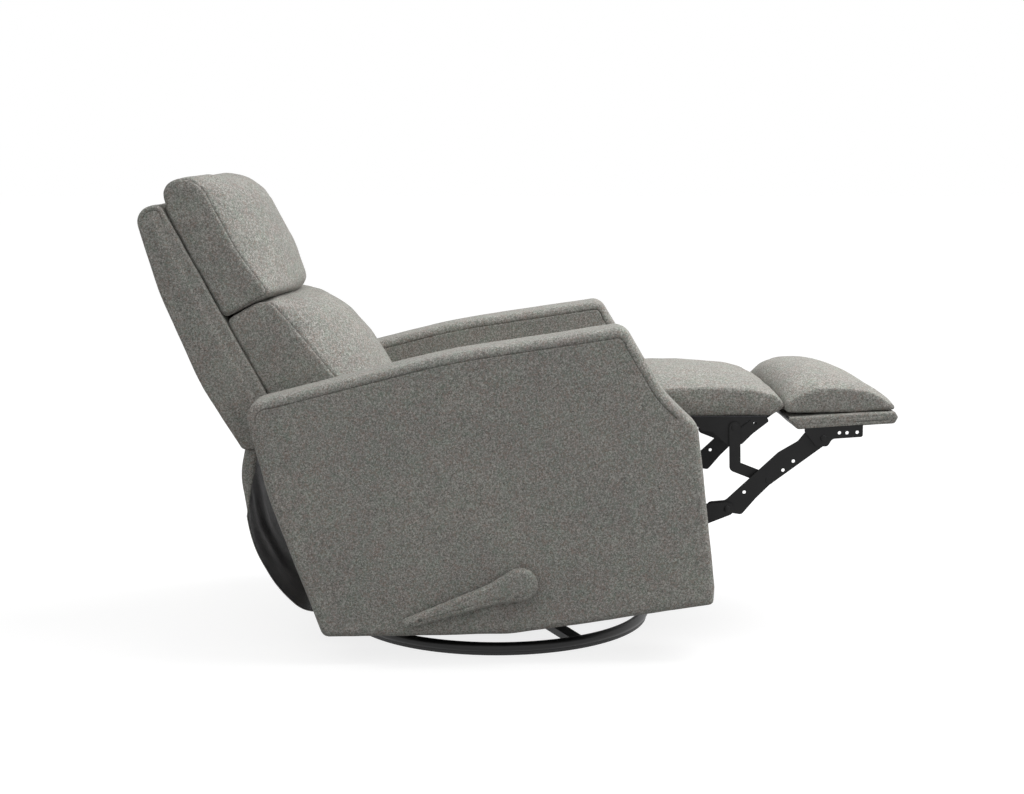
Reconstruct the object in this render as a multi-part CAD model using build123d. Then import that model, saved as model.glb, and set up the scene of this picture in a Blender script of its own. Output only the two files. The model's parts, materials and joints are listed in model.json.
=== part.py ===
from build123d import *
import os
from math import atan2, cos, degrees, hypot, pi, radians, sin, tan

# A swivel glider recliner, lying back with its footrest open. Millimetres and degrees.
# X runs across the chair, the front faces -Y and Z is up. The origin is on the floor, on the
# swivel axis. A point of a side view is written (forward, up).

# ---- Base and swivel ----
ring_diameter = 645
ring_tube = 20
strip_width = 10
strip_height = 7
strip_sink = 2                  # how deep the ring sits in its floor strip
bar_width = 28
bar_height = 14
bar_angle = 30                  # the first bar, from straight left
bar_reach_in = 35               # inner end of each crossed bar, from the axis
hub_height = 44                 # underside of the hub plate
hub_radius = 80
hub_thickness = 6
race_inner_radius = 48
race_outer_radius = 76
race_thickness = 6
race_gap = 3
ball_diameter = 8
ball_circle = 62
ball_count = 16
king_bolt_radius = 8
king_head_radius = 13
king_head_height = 8
running_clearance = 0.05        # radial play of a pin in its hole
platform_overhang = 30          # platform beyond the glide posts
platform_width = 330
platform_thickness = 5

# ---- Glide ----
glide_plate_x = 154             # inner face of each upright bracket plate
glide_plate_thickness = 4
flange_width = 28
web_height = 14
glide_spread = 150              # forward distance of the glide pivots
glide_post_width = 36
glide_pivot_height = 225
glide_link_length = 120
glide_link_width = 26
glide_link_thickness = 6
glide_link_x = 164
glide_pin_radius = 6
glide_head_radius = 9
glide_head_thickness = 3
side_play = 0.3
bolt_radius = 4
bolt_head_radius = 6.5
bolt_head_height = 5
platform_bolt_forward = 110

# ---- Carriage and tilt ----
rail_x = 172
rail_width = 29
rail_height = 33
rail_overhang = 50              # carriage rail beyond its glide pins
rail_wall = 3
cross_tube_radius = 12
cross_tube_wall = 2
cross_tube_forward = 42
ear_thickness = 6
ear_width = 44
plate_gap = 1
tilt_forward = 120
tilt_drop = 50                  # tilt pivot below the seat frame
tilt_pin_radius = 8
tilt_head_radius = 12
tilt_head_height = 4
tilt_plate_thickness = 6
tilt_eye_radius = 22
tilt_boss_radius = 16
tilt_bosses = ((-76, -10), (-22, 0))    # top bosses, from above the pivot on the frame's mid line
stop_forward = -160
stop_length = 24
leg_extra = 6                   # how much longer the leg is than its pad
stop_height = 20
stop_top = 140
soft_gap = 0.3                  # room between a soft solid and its neighbour

# ---- Seat box ----
seat_slope = 11
seat_front = 250                # where the seat's slanted top line is seat_front_height high
seat_front_height = 500
seat_rear = -290
cushion_thickness = 120
# forward, height over the seat's slanted line, corner radius, how the crown moves it
seat_points = [(seat_rear, -cushion_thickness, 14, (0, 0.3)), (seat_rear, 0, 26, (0, 1)),
               (-40, 0, 400, (0, 1)), (200, 14, 40, (0, 1)), (236, -19, 34, (0.4, 0)),
               (240, -66, 30, (0.4, 0)), (222, -cushion_thickness - 4, 18, (0, 0)),
               (190, -cushion_thickness, 18, (0, 0.3))]
seat_edge = 14                  # how far its sides draw in
seat_nose_half_width = 228
seat_nose_start = 186
seat_crown = 12
wood_depth = 60
wood_width = 22
seat_wood_front = 176
seat_wood_rear = -290
wood_rail_x = 214
spring_wire = 4
spring_gap = 1                  # springs to the cushion
spring_count = 5
spring_pitch = 38
spring_swing = 34
spring_spread = 88
side_plate_thickness = 3
plate_bosses = (24, 20, 17, 22, 22)     # radii at lever tube, lift, calf and back pivots, rear bolt
arm_inner = 260
arm_outer = 380
arm_points = [(-338, 54, 16), (-439, 330, 400), (-482, 503, 34), (-100, 600, 1500), (236, 650, 26),
              (312, 524, 160), (376, 462, 34), (414, 150, 30), (412, 114, 10), (20, 58, 300)]
arm_edge = 16                   # rounding along the arm's seams
arm_padding = 26
arm_board = 22                  # thickness of the wooden arm panel
spacer_radius = 10
spacer_forwards = (-220, -60, 5)
frame_bolt_radius = 5
stretcher_forward = -345
stretcher_thickness = 18
stretcher_low = 62
stretcher_high = 122
cloth = 3                       # thickness of the rear cloth
cloth_half_width = 252
cloth_slack = [(-499, 398), (-512, 345), (-493, 215), (-440, 118), (-392, 73)]  # its hanging line
cloth_bend = 28

# ---- Back ----
back_pivot = (-275, 392)
back_angle = 28.2               # front face of the back shell, from upright
back_foot = (-395, 398)         # lower front corner of the back shell
back_bracket_gap = 7            # back bracket to the arm
shell_top = 873
shell_rear_points = [(-707, 875, 32), (-672, 706, 320), (-503, 398, 10)]
back_board = 22
back_padding = 20
back_bracket_thickness = 4
back_bosses = ((392, 20), (418, 16), (444, 13))     # height and radius of each bracket boss
bracket_inset = 24              # bracket bosses behind the shell's front face
# distance in front of the shell, height, corner radius, how the crown moves it
head_crown = 90
head_points = [(soft_gap, 656, 10, (0, 0)), (soft_gap, 850, 60, (0, 0)), (20, 912, 26, (0, 0.05)),
               (81, 934, 26, (0.75, 0)), (104, 908, 24, (0.93, 0)), (103, 786, 160, (0.92, 0)),
               (119, 706, 12, (0.5, 0)), (100, 696, 6, (0.3, 0))]
lumbar_crown = 106
lumbar_points = [(soft_gap, 416, 14, (0, 0)), (soft_gap, 648, 10, (0, 0)), (78, 684, 10, (0.3, 0)),
                 (112, 688, 14, (0.8, 0.03)), (126, 652, 60, (0.97, 0)), (139, 604, 110, (1, 0)),
                 (168, 505, 60, (0.8, 0)), (163, 446, 30, (0.36, 0)), (139, 424, 18, (0.18, 0))]
back_crown_power = 2.4          # how flat the middle of both cushions' crown is
back_edge = 5                  # how far the sides of both cushions draw in

# ---- Lever and drive ----
tube_centre = (40, 162)
tube_radius = 11
tube_wall = 2
lever_hub_radius = 32.5
lever_length = 238
lever_neck_share = 0.28         # where the hub has thinned to the neck, along the lever
lever_neck_radius = 19.5
lever_angle = 199               # from straight forward, counter-clockwise in the side view
lever_tip_radius = 10
lever_thickness = 24
lever_gap = 2                   # lever to the arm's face
lever_edge = 7                  # rounding of its outer face
lever_wall = 8                  # lever material outside the drive tube
crank_length = 50
crank_angle = -22.5
crank_width = 18
crank_wall = 6
drive_link_width = 16
drive_pin_radius = 4

# ---- Footrest ----
lift_pivot = (323, 268)
knee = (452, 277)
ottoman_pivot = (640, 418)
calf_pivot = (290, 488)
control_pivot = (283, 264.5)
control_end = (431, 273)
bent_start = (534, 334)
bent_corner = (468, 360)
bent_end = (466, 438)
link_thickness = 3
layer_step = 4                  # one plate and the gap to the next
lift_width = 27
lift_belly = (404, 262)           # where the lift link is widest
lift_belly_radius = 17
# forward, height, corner radius of the long link's edge, and its holes
ottoman_points = [(412, 291, 10), (412, 252, 12), (462, 268, 8), (481, 265, 8), (509, 298, 14),
                  (535, 324, 20), (650, 409, 12), (650, 431, 10), (606, 432, 8), (590, 412, 20),
                  (552, 390, 30), (449, 294, 14)]
ottoman_holes = [(486, 310), (562, 354), (582, 372)]
control_width = 20
bent_width = 22
rivet_radius = 5
link_hole = 3.5
calf_eye_radius = 13
calf_strap_end = (352, 449)
calf_strap_radius = 9
calf_plate_points = [(352, 458, 2), (346, 440, 4), (392, 440, 6), (402, 431, 6), (423, 429, 4),
                     (451, 404, 6), (481, 404, 6), (502, 425, 6), (534, 450, 4), (530, 458, 2)]
calf_plate_holes = [(372, 449), (507, 447)]
calf_plate_slit = [(478, 438), (496, 453)]
slit_width = 3
calf_half_width = 232
calf_board_thickness = 12
calf_board_rear = 322
calf_board_front = 530
calf_crown = 24
calf_edge = 7
# forward, height over the pad's underside, corner radius, how the crown moves it
calf_low = 460
calf_points = [(264, 0, 20, (0, 0)), (534, 0, 16, (0, 0)), (562, 16, 10, (0.1, 0)),
               (550, 42, 22, (0.1, 0.25)), (505, 56, 90, (0, 0.45)), (400, 60, 300, (0, 0.85)),
               (296, 58, 24, (0, 1)), (264, 48, 18, (0, 0.6))]
foot_half_width = 246
foot_crown = 18
foot_edge = 8
foot_board_points = [(590, 437, 8), (780, 448, 8), (787, 460, 6), (780, 471, 4), (700, 467.5, 60),
                     (568, 459, 4)]
foot_points = [(566, 467, 8, (0, 0)), (700, 468.2, 300, (0, 0)), (786, 473.5, 4, (0.2, 0)),
               (781, 484, 10, (0.3, 0.1)), (762, 497, 24, (0.2, 0.2)), (733, 513, 50, (0.1, 0.5)),
               (680, 525, 200, (0, 1.1)), (625, 523, 50, (-0.1, 1.3)), (588, 510, 30, (-0.5, 1.3)),
               (564, 488, 14, (-0.1, 0.4))]
footrest_tab_points = [(600, 434, 8), (612, 450, 6), (717, 455, 4), (717, 421, 4), (657, 417, 10),
                       (648, 402, 8), (626, 402, 10)]
footrest_tab_holes = [(671, 429), (686, 429), (706, 430)]

# ---- Values that follow from the driving dimensions ----
ring_radius = (ring_diameter - ring_tube) / 2
ring_height = strip_height - strip_sink + ring_tube / 2
lower_race_height = hub_height + hub_thickness
upper_race_height = lower_race_height + race_thickness + race_gap
ball_height = lower_race_height + race_thickness + race_gap / 2
platform_height = upper_race_height + race_thickness
flange_height = platform_height + platform_thickness
glide_low = glide_pivot_height - glide_link_length
platform_length = 2 * (glide_spread + platform_overhang)
rail_length = 2 * (glide_spread + rail_overhang)
rail_low = glide_low - rail_height * 0.4
rail_high = rail_low + rail_height
rail_outer = rail_x + rail_width
ear_outer = rail_outer + ear_thickness
tilt_plate_x = ear_outer + plate_gap
layer = [arm_inner - side_plate_thickness - layer_step * step for step in range(7)]
back_half_width = arm_inner - back_bracket_gap - back_bracket_thickness
seat_half_width = back_half_width       # seat and back both fit between the back's brackets
lever_inner = arm_outer + lever_gap
lever_outer = lever_inner + lever_thickness
calf_board_high = calf_low - soft_gap
calf_board_low = calf_board_high - calf_board_thickness
wood_top = cushion_thickness + spring_wire + spring_gap     # the wood below the seat's line
side_plate_x = layer[0]
drive_x, lift_x, ottoman_x, control_x, bent_x, calf_x = layer[1:]


def side(x):
    """The side view at x: its first axis is forward and its second is up."""
    return Plane(origin=(x, 0, 0), x_dir=(0, -1, 0), z_dir=(-1, 0, 0))


def across(face, x_low, x_high):
    """A side-view face swept straight across the chair from x_low to x_high."""
    return extrude(side(x_high) * face, x_high - x_low)


def both(shape):
    """The shape and its mirror image on the other side, as one group."""
    return Compound(children=shape.solids() + mirror(shape, about=Plane.YZ).solids())


def group(shapes):
    """Separate solids kept as one group."""
    return Compound(children=[solid for shape in shapes for solid in shape.solids()])


def disc(centre, radius):
    return Pos(*centre) * Circle(radius)


def strap(points, width):
    """A flat strap with round ends through the given points."""
    face = Sketch()
    for start, end in zip(points, points[1:]):
        run = (end[0] - start[0], end[1] - start[1])
        middle = ((start[0] + end[0]) / 2, (start[1] + end[1]) / 2)
        face += Pos(*middle) * Rot(0, 0, degrees(atan2(run[1], run[0]))) * SlotCenterToCenter(
            hypot(*run), width)
    return face


def hull(discs):
    """A plate with straight edges drawn tight round its bosses."""
    edges = [edge for centre, radius in discs for edge in disc(centre, radius).edges()]
    return make_hull(edges)


def rounded_corner(before, corner, after):
    """Where a corner's arc starts, its middle and where it ends."""
    radius = corner[2]
    back = Vector(before[0] - corner[0], before[1] - corner[1]).normalized()
    ahead = Vector(after[0] - corner[0], after[1] - corner[1]).normalized()
    half = radians(back.get_angle(ahead)) / 2
    point = Vector(corner[0], corner[1])
    inward = (back + ahead).normalized()
    return (point + back * (radius / tan(half)),
            point + inward * (radius / sin(half) - radius),
            point + ahead * (radius / tan(half)))


def outline(points):
    """A face through (forward, up, corner radius) points, of straight lines and arcs."""
    count = len(points)
    corners = [rounded_corner(points[turn - 1], points[turn], points[(turn + 1) % count])
               for turn in range(count)]
    edges = []
    for turn in range(count):
        edges.append(Line(corners[turn - 1][2], corners[turn][0]))
        edges.append(ThreePointArc(*corners[turn]))
    return make_face(edges)


def box(x, forward, up):
    """A block between two values along each of X, forward and up."""
    return Pos((x[0] + x[1]) / 2, -(forward[0] + forward[1]) / 2, (up[0] + up[1]) / 2) * Box(
        x[1] - x[0], forward[1] - forward[0], up[1] - up[0])


def seat_line(forward):
    """Height of the seat's slanted top line."""
    return seat_front_height + (forward - seat_front) * tan(radians(seat_slope))


def back_line(up):
    """Where the front face of the back shell is at a height."""
    return back_foot[0] - (up - back_foot[1]) * tan(radians(back_angle))


def crowned(points, crown, half_width, edge, power=2):
    """A cushion that swells towards the middle of the chair and draws in at both ends.

    Each point is (forward, up, corner radius, how far the crown moves it forward and up).
    """
    stations = [0.0, 0.35, 0.62, 0.82, 0.94, 1.0]
    places = [-share for share in reversed(stations)] + stations[1:]
    sections = []
    for share in places:
        swell = crown * (1 - abs(share) ** power) - edge * max(0.0, (abs(share) - 0.82) / 0.18) ** 2
        profile = [(forward + swell * move[0], up + swell * move[1], radius)
                   for forward, up, radius, move in points]
        section = side(share * half_width) * outline(profile)
        sections.append(section.face().outer_wire())
    return Part() + Solid.make_loft(sections, ruled=True).fix()


tilt_pivot = (tilt_forward, seat_line(tilt_forward) - wood_top - wood_depth - tilt_drop)

parts = {}

# ---- Base ----
ring = Pos(0, 0, ring_height) * Torus(ring_radius, ring_tube / 2)
parts["base_ring"] = ring
strip_groove = Pos(0, 0, ring_height) * Torus(ring_radius, ring_tube / 2 + running_clearance)
strip_body = extrude(Circle(ring_radius + strip_width / 2) - Circle(ring_radius - strip_width / 2),
                     strip_height)
parts["floor_strip"] = strip_body - strip_groove

bar_profile = make_face(Polyline(
    (bar_reach_in, hub_height - bar_height), (hub_radius, hub_height - bar_height),
    (ring_radius, ring_height - bar_height / 2), (ring_radius, ring_height + bar_height / 2),
    (hub_radius, hub_height), (bar_reach_in, hub_height), close=True))
bars = []
for quarter in range(4):
    turn = bar_angle + 90 * quarter
    upright = Plane(origin=(0, 0, 0), x_dir=(cos(radians(turn)), sin(radians(turn)), 0),
                    z_dir=(sin(radians(turn)), -cos(radians(turn)), 0))
    bars.append(extrude(upright * bar_profile, bar_width / 2, both=True) - ring)
parts["cross_arms"] = group(bars)

king_hole = Circle(king_bolt_radius)
parts["hub_plate"] = Pos(0, 0, hub_height) * extrude(Circle(hub_radius) - king_hole, hub_thickness)
groove = Pos(0, 0, ball_height) * Torus(ball_circle, ball_diameter / 2 + running_clearance)
race = extrude(Circle(race_outer_radius) - Circle(race_inner_radius), race_thickness)
parts["lower_bearing_race"] = Pos(0, 0, lower_race_height) * race - groove
ball = Sphere(ball_diameter / 2)
parts["bearing_balls"] = group([
    Pos(ball_circle * cos(2 * pi * turn / ball_count), ball_circle * sin(2 * pi * turn / ball_count),
        ball_height) * ball for turn in range(ball_count)])
nut_low = flange_height + side_play
king_top = nut_low + king_head_height
king_bolt = Pos(0, 0, hub_height - king_head_height) * extrude(
    Circle(king_head_radius), king_head_height)
king_bolt += Pos(0, 0, hub_height) * extrude(king_hole, king_top - hub_height)
king_nut = Pos(0, 0, nut_low) * extrude(
    RegularPolygon(king_head_radius, 6) - king_hole, king_head_height)
parts["king_bolt"] = group([king_bolt, king_nut])

# ---- Swivel ----
parts["upper_bearing_race"] = Pos(0, 0, upper_race_height) * race - groove
bolt_x = glide_plate_x - flange_width / 2
bolt_places = [(sign_x * bolt_x, sign_y * platform_bolt_forward)
               for sign_x in (-1, 1) for sign_y in (-1, 1)]
platform_face = RectangleRounded(platform_width, platform_length, 20)
platform_face -= Circle(king_bolt_radius + running_clearance)
for place in bolt_places:
    platform_face -= Pos(*place) * Circle(bolt_radius)
parts["swivel_platform"] = Pos(0, 0, platform_height) * extrude(platform_face, platform_thickness)

bracket_face = Pos(0, flange_height + web_height / 2) * Rectangle(platform_length, web_height)
for forward in (-glide_spread, glide_spread):
    bracket_face += strap([(forward, flange_height + glide_post_width / 2),
                           (forward, glide_pivot_height)], glide_post_width)
for forward in (-glide_spread, glide_spread):
    bracket_face -= disc((forward, glide_pivot_height), glide_pin_radius)
glide_plate_outer = glide_plate_x + glide_plate_thickness
bracket = across(bracket_face, glide_plate_x, glide_plate_outer)
bracket += box((glide_plate_x - flange_width, glide_plate_x),
               (-platform_length / 2, platform_length / 2),
               (flange_height, flange_height + glide_plate_thickness))
for place in bolt_places:
    bracket -= Pos(*place, flange_height) * Cylinder(bolt_radius, 4 * glide_plate_thickness)
parts["glide_bracket_left"] = bracket
parts["glide_bracket_right"] = mirror(bracket, about=Plane.YZ)
bolt_seat = flange_height + glide_plate_thickness
bolts = []
for place in bolt_places:
    shank = Pos(*place, platform_height - bolt_head_height) * extrude(
        Circle(bolt_radius), bolt_seat - platform_height + bolt_head_height)
    head = Pos(*place, bolt_seat) * extrude(RegularPolygon(bolt_head_radius, 6), bolt_head_height)
    bolts.append(shank + head)
parts["platform_bolts"] = group(bolts)


def headed_pin(centre, radius, head_radius, head, x_low, x_high):
    """A pin from x_low to x_high with a round head outside each end."""
    pin = across(disc(centre, radius), x_low, x_high)
    pin += across(disc(centre, head_radius), x_low - head, x_low)
    return pin + across(disc(centre, head_radius), x_high, x_high + head)


glide_link_outer = glide_link_x + glide_link_thickness
upper_pins = [headed_pin((forward, glide_pivot_height), glide_pin_radius, glide_head_radius,
                         glide_head_thickness, glide_plate_x, glide_link_outer + side_play)
              for forward in (-glide_spread, glide_spread)]
parts["upper_glide_pins"] = both(group(upper_pins))

# ---- Glide links ----
for name, forward in (("front_glide_links", glide_spread), ("rear_glide_links", -glide_spread)):
    ends = [(forward, glide_pivot_height), (forward, glide_low)]
    link = strap(ends, glide_link_width)
    for end in ends:
        link -= disc(end, glide_pin_radius + running_clearance)
    parts[name] = both(across(link, glide_link_x, glide_link_outer))

# ---- Carriage ----
rail_middle = (rail_low + rail_high) / 2
rail = box((rail_x, rail_outer), (-rail_length / 2, rail_length / 2), (rail_low, rail_high))
rail -= box((rail_x + rail_wall, rail_outer - rail_wall), (-rail_length, rail_length),
            (rail_low + rail_wall, rail_high - rail_wall))
for forward in (-glide_spread, glide_spread):
    rail -= across(disc((forward, glide_low), glide_pin_radius), rail_x, rail_x + rail_wall)
parts["carriage_rail_left"] = rail
parts["carriage_rail_right"] = mirror(rail, about=Plane.YZ)
cross_tubes = []
for forward in (-cross_tube_forward, cross_tube_forward):
    ring_face = disc((forward, rail_middle), cross_tube_radius)
    ring_face -= disc((forward, rail_middle), cross_tube_radius - cross_tube_wall)
    cross_tubes.append(across(ring_face, -rail_x, rail_x))
parts["carriage_cross_tubes"] = group(cross_tubes)
lower_pins = []
for forward in (-glide_spread, glide_spread):
    pin = across(disc((forward, glide_low), glide_pin_radius), glide_link_x - side_play,
                 rail_x + rail_wall)
    pin += across(disc((forward, glide_low), glide_head_radius),
                  glide_link_x - side_play - glide_head_thickness, glide_link_x - side_play)
    lower_pins.append(pin)
parts["lower_glide_pins"] = both(group(lower_pins))
ear = strap([(tilt_pivot[0], rail_middle), tilt_pivot], ear_width)
ear -= disc(tilt_pivot, tilt_pin_radius + running_clearance)
ear_bottom = box((rail_outer, ear_outer), (tilt_pivot[0] - ear_width, tilt_pivot[0] + ear_width),
                 (rail_low - ear_width, rail_low))
parts["tilt_ears"] = both(across(ear, rail_outer, ear_outer) - ear_bottom)
tilt_plate_outer = tilt_plate_x + tilt_plate_thickness
parts["stop_pads"] = both(box((rail_outer, tilt_plate_outer),
                              (stop_forward - stop_length / 2, stop_forward + stop_length / 2),
                              (stop_top - stop_height, stop_top)))

# ---- Seat box ----
rail_face = make_face(Polyline(
    (seat_wood_rear, seat_line(seat_wood_rear) - wood_top),
    (seat_wood_rear, seat_line(seat_wood_rear) - wood_top - wood_depth),
    (seat_wood_front, seat_line(seat_wood_front) - wood_top - wood_depth),
    (seat_wood_front, seat_line(seat_wood_front) - wood_top), close=True))
wood_outer = wood_rail_x + wood_width
spacer_points = [(forward, seat_line(forward) - wood_top - wood_depth / 2)
                 for forward in spacer_forwards]
side_rail = across(rail_face, wood_rail_x, wood_outer)
for point in spacer_points:
    side_rail -= across(disc(point, frame_bolt_radius), wood_rail_x, wood_outer)
end_rails = []
for rear, front in ((seat_wood_rear, seat_wood_rear + 2 * wood_width),
                    (seat_wood_front - 2 * wood_width, seat_wood_front)):
    cut = box((-arm_outer, arm_outer), (rear, front), (0, 2 * seat_front_height))
    end_rails.append(across(rail_face, -wood_rail_x, wood_rail_x) & cut)
parts["seat_frame"] = group([side_rail, mirror(side_rail, about=Plane.YZ)] + end_rails)

spring_low = seat_wood_rear + wood_width
spring_high = seat_wood_front - wood_width
spring_runs = round((spring_high - spring_low) / spring_pitch)
stretch = 1 / cos(radians(seat_slope))
seat_plane = Plane(origin=(0, 0, seat_line(0) - wood_top + spring_wire / 2 * stretch),
                   x_dir=(1, 0, 0), z_dir=(0, sin(radians(seat_slope)), cos(radians(seat_slope))))
springs = []
for number in range(spring_count):
    centre = (number - (spring_count - 1) / 2) * spring_spread
    corners = [(centre, -spring_low * stretch)]
    for run in range(spring_runs):
        along = -(spring_low + (run + 0.5) * spring_pitch) * stretch
        swing = spring_swing / 2 * (-1) ** run
        corners.append((centre + swing, along + spring_pitch * 0.3))
        corners.append((centre + swing, along - spring_pitch * 0.3))
    corners.append((centre, -spring_high * stretch))
    path = seat_plane * FilletPolyline(*corners, radius=spring_pitch * 0.2)
    springs.append(sweep(Plane(path @ 0, z_dir=path % 0) * Circle(spring_wire / 2), path))
parts["seat_springs"] = group(springs)


seat_profile = [(forward, seat_line(forward) + up, radius, move)
                for forward, up, radius, move in seat_points]
seat_cushion = crowned(seat_profile, seat_crown, seat_half_width, seat_edge)
for sign in (-1, 1):
    corner = box((seat_nose_half_width, arm_inner), (seat_nose_start, 2 * seat_front),
                 (0, 2 * seat_front_height))
    seat_cushion -= corner if sign > 0 else mirror(corner, about=Plane.YZ)
parts["seat_cushion"] = seat_cushion

plate_places = (tube_centre, lift_pivot, calf_pivot, back_pivot, spacer_points[0])
side_plate_face = hull(zip(plate_places, plate_bosses))
for centre, radius in ((lift_pivot, rivet_radius), (control_pivot, rivet_radius),
                       (calf_pivot, rivet_radius), (back_pivot, rivet_radius),
                       (tube_centre, tube_radius + running_clearance)):
    side_plate_face -= disc(centre, radius)
for point in spacer_points:
    side_plate_face -= disc(point, frame_bolt_radius)
side_plate = across(side_plate_face, side_plate_x, arm_inner)
parts["side_plate_left"] = side_plate
parts["side_plate_right"] = mirror(side_plate, about=Plane.YZ)
spacers = [across(disc(point, spacer_radius) - disc(point, frame_bolt_radius), wood_outer,
                  side_plate_x) for point in spacer_points]
parts["frame_spacers"] = both(group(spacers))
frame_bolts = []
for point in spacer_points:
    bolt = across(disc(point, frame_bolt_radius), wood_rail_x, arm_inner)
    bolt += across(disc(point, bolt_head_radius + 1), wood_rail_x - bolt_head_height, wood_rail_x)
    frame_bolts.append(bolt)
parts["frame_bolts"] = both(group(frame_bolts))

tilt_top = seat_line(tilt_pivot[0]) - wood_top - wood_depth / 2
stop_top_gap = stop_top + side_play
tilt_face = hull([(tilt_pivot, tilt_eye_radius)] + [
    ((tilt_pivot[0] + forward, tilt_top + up), tilt_boss_radius) for forward, up in tilt_bosses])
tilt_face -= disc(tilt_pivot, tilt_pin_radius)
leg_top = seat_line(stop_forward) - wood_top - wood_depth / 2
leg = Pos(stop_forward, (leg_top + stop_top_gap) / 2) * Rectangle(
    stop_length + leg_extra, leg_top - stop_top_gap)
tilt_plates = [across(tilt_face, tilt_plate_x, tilt_plate_outer),
               across(leg, tilt_plate_x, tilt_plate_outer)]
parts["tilt_plates"] = both(group(tilt_plates))


# ---- Arms ----
arm_face = outline(arm_points)
board_face = offset(arm_face, -arm_padding)
board_face += Pos(0, -2 * arm_padding) * board_face & arm_face
board_low = (arm_inner + arm_outer - arm_board) / 2
arm_block = across(arm_face, arm_inner, arm_outer)
arm_block = fillet(arm_block.faces().sort_by(Axis.X)[-1].edges()
                   + arm_block.faces().sort_by(Axis.X)[0].edges(), arm_edge)
arm_board_solid = across(board_face, board_low, board_low + arm_board)
arm_cover = arm_block - arm_board_solid
tube_way = across(disc(tube_centre, tube_radius + 2), arm_inner, arm_outer)
parts["arm_frame_left"] = arm_board_solid
parts["arm_cover_left"] = arm_cover
parts["arm_frame_right"] = mirror(arm_board_solid - tube_way, about=Plane.YZ)
parts["arm_cover_right"] = mirror(arm_cover - tube_way, about=Plane.YZ)
parts["rear_stretcher"] = box((-arm_inner, arm_inner),
                              (stretcher_forward, stretcher_forward + stretcher_thickness),
                              (stretcher_low, stretcher_high))

skirt_line = [(cloth_slack[0][0], back_foot[1] - soft_gap)] + cloth_slack[1:] + [
    (stretcher_forward - cloth - soft_gap, stretcher_low + 8)]
skirt_path = FilletPolyline(*skirt_line, radius=cloth_bend)
skirt_outer = FilletPolyline(*[(forward + cloth, up) for forward, up in skirt_line],
                             radius=cloth_bend)
skirt_face = make_face(skirt_path.edges() + skirt_outer.edges()
                       + [Line(skirt_path @ 0, skirt_outer @ 0), Line(skirt_path @ 1, skirt_outer @ 1)])
parts["rear_skirt"] = across(skirt_face, -cloth_half_width, cloth_half_width)

pins = [across(disc(lift_pivot, rivet_radius), lift_x, arm_inner),
        across(disc(control_pivot, rivet_radius), control_x, arm_inner),
        across(disc(calf_pivot, rivet_radius), calf_x, arm_inner),
        across(disc(back_pivot, rivet_radius), back_half_width, arm_inner),
        headed_pin(tilt_pivot, tilt_pin_radius, tilt_head_radius, tilt_head_height,
                   rail_outer - side_play, tilt_plate_outer)]
parts["pivot_pins"] = both(group(pins))

# ---- Lever and drive ----
lever_tip = (tube_centre[0] + lever_length * cos(radians(lever_angle)),
             tube_centre[1] + lever_length * sin(radians(lever_angle)))
lever_neck = (tube_centre[0] + lever_neck_share * (lever_tip[0] - tube_centre[0]),
              tube_centre[1] + lever_neck_share * (lever_tip[1] - tube_centre[1]))
tip_centre = (lever_tip[0] - lever_tip_radius * cos(radians(lever_angle)),
              lever_tip[1] - lever_tip_radius * sin(radians(lever_angle)))
lever_face = hull([(tube_centre, lever_hub_radius), (lever_neck, lever_neck_radius)])
lever_face += hull([(lever_neck, lever_neck_radius), (tip_centre, lever_tip_radius)])
lever = across(lever_face, -lever_outer, -lever_inner)
lever = fillet(lever.faces().sort_by(Axis.X)[0].edges(), lever_edge)
lever -= across(disc(tube_centre, tube_radius), -lever_outer + lever_wall, -lever_inner)
parts["handle_lever"] = lever
tube_face = disc(tube_centre, tube_radius) - disc(tube_centre, tube_radius - tube_wall)
parts["drive_tube"] = across(tube_face, -lever_outer + lever_wall, arm_inner)
crank_end = (tube_centre[0] + crank_length * cos(radians(crank_angle)),
             tube_centre[1] + crank_length * sin(radians(crank_angle)))
lift_arm_end = (lift_pivot[0] + crank_end[0] - tube_centre[0],
                lift_pivot[1] + crank_end[1] - tube_centre[1])
crank_face = hull([(tube_centre, tube_radius + crank_wall), (crank_end, crank_width / 2)])
crank_face -= disc(tube_centre, tube_radius)
crank = across(crank_face, lift_x, lift_x + link_thickness)
crank += across(disc(crank_end, drive_pin_radius), lift_x, drive_x + link_thickness)
parts["drive_cranks"] = both(crank)
drive_link = strap([crank_end, lift_arm_end], drive_link_width)
for end in (crank_end, lift_arm_end):
    drive_link -= disc(end, drive_pin_radius + running_clearance)
parts["drive_links"] = both(across(drive_link, drive_x, drive_x + link_thickness))

# ---- Footrest links ----
lift_face = hull([(lift_pivot, lift_width / 2), (lift_belly, lift_belly_radius),
                  (knee, lift_width / 2)])
lift_face += hull([(lift_pivot, lift_width / 2), (lift_arm_end, crank_width / 2)])
lift_face -= disc(lift_pivot, rivet_radius + running_clearance)
lift_face -= disc(knee, rivet_radius) + disc(lift_arm_end, drive_pin_radius)
lift_link = across(lift_face, lift_x, lift_x + link_thickness)
parts["lift_link_left"] = lift_link
parts["lift_link_right"] = mirror(lift_link, about=Plane.YZ)
parts["lift_rivets"] = both(group([
    across(disc(knee, rivet_radius), ottoman_x, lift_x + link_thickness),
    across(disc(lift_arm_end, drive_pin_radius), lift_x, drive_x + link_thickness)]))

ottoman_face = outline(ottoman_points) - disc(knee, rivet_radius + running_clearance)
ottoman_face -= disc(ottoman_pivot, rivet_radius) + disc(bent_start, rivet_radius)
for place in ottoman_holes:
    ottoman_face -= disc(place, link_hole)
ottoman_link = across(ottoman_face, ottoman_x, ottoman_x + link_thickness)
parts["ottoman_link_left"] = ottoman_link
parts["ottoman_link_right"] = mirror(ottoman_link, about=Plane.YZ)
parts["ottoman_rivets"] = both(group([
    across(disc(ottoman_pivot, rivet_radius), ottoman_x, lift_x + link_thickness),
    across(disc(bent_start, rivet_radius), bent_x, ottoman_x + link_thickness)]))

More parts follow.
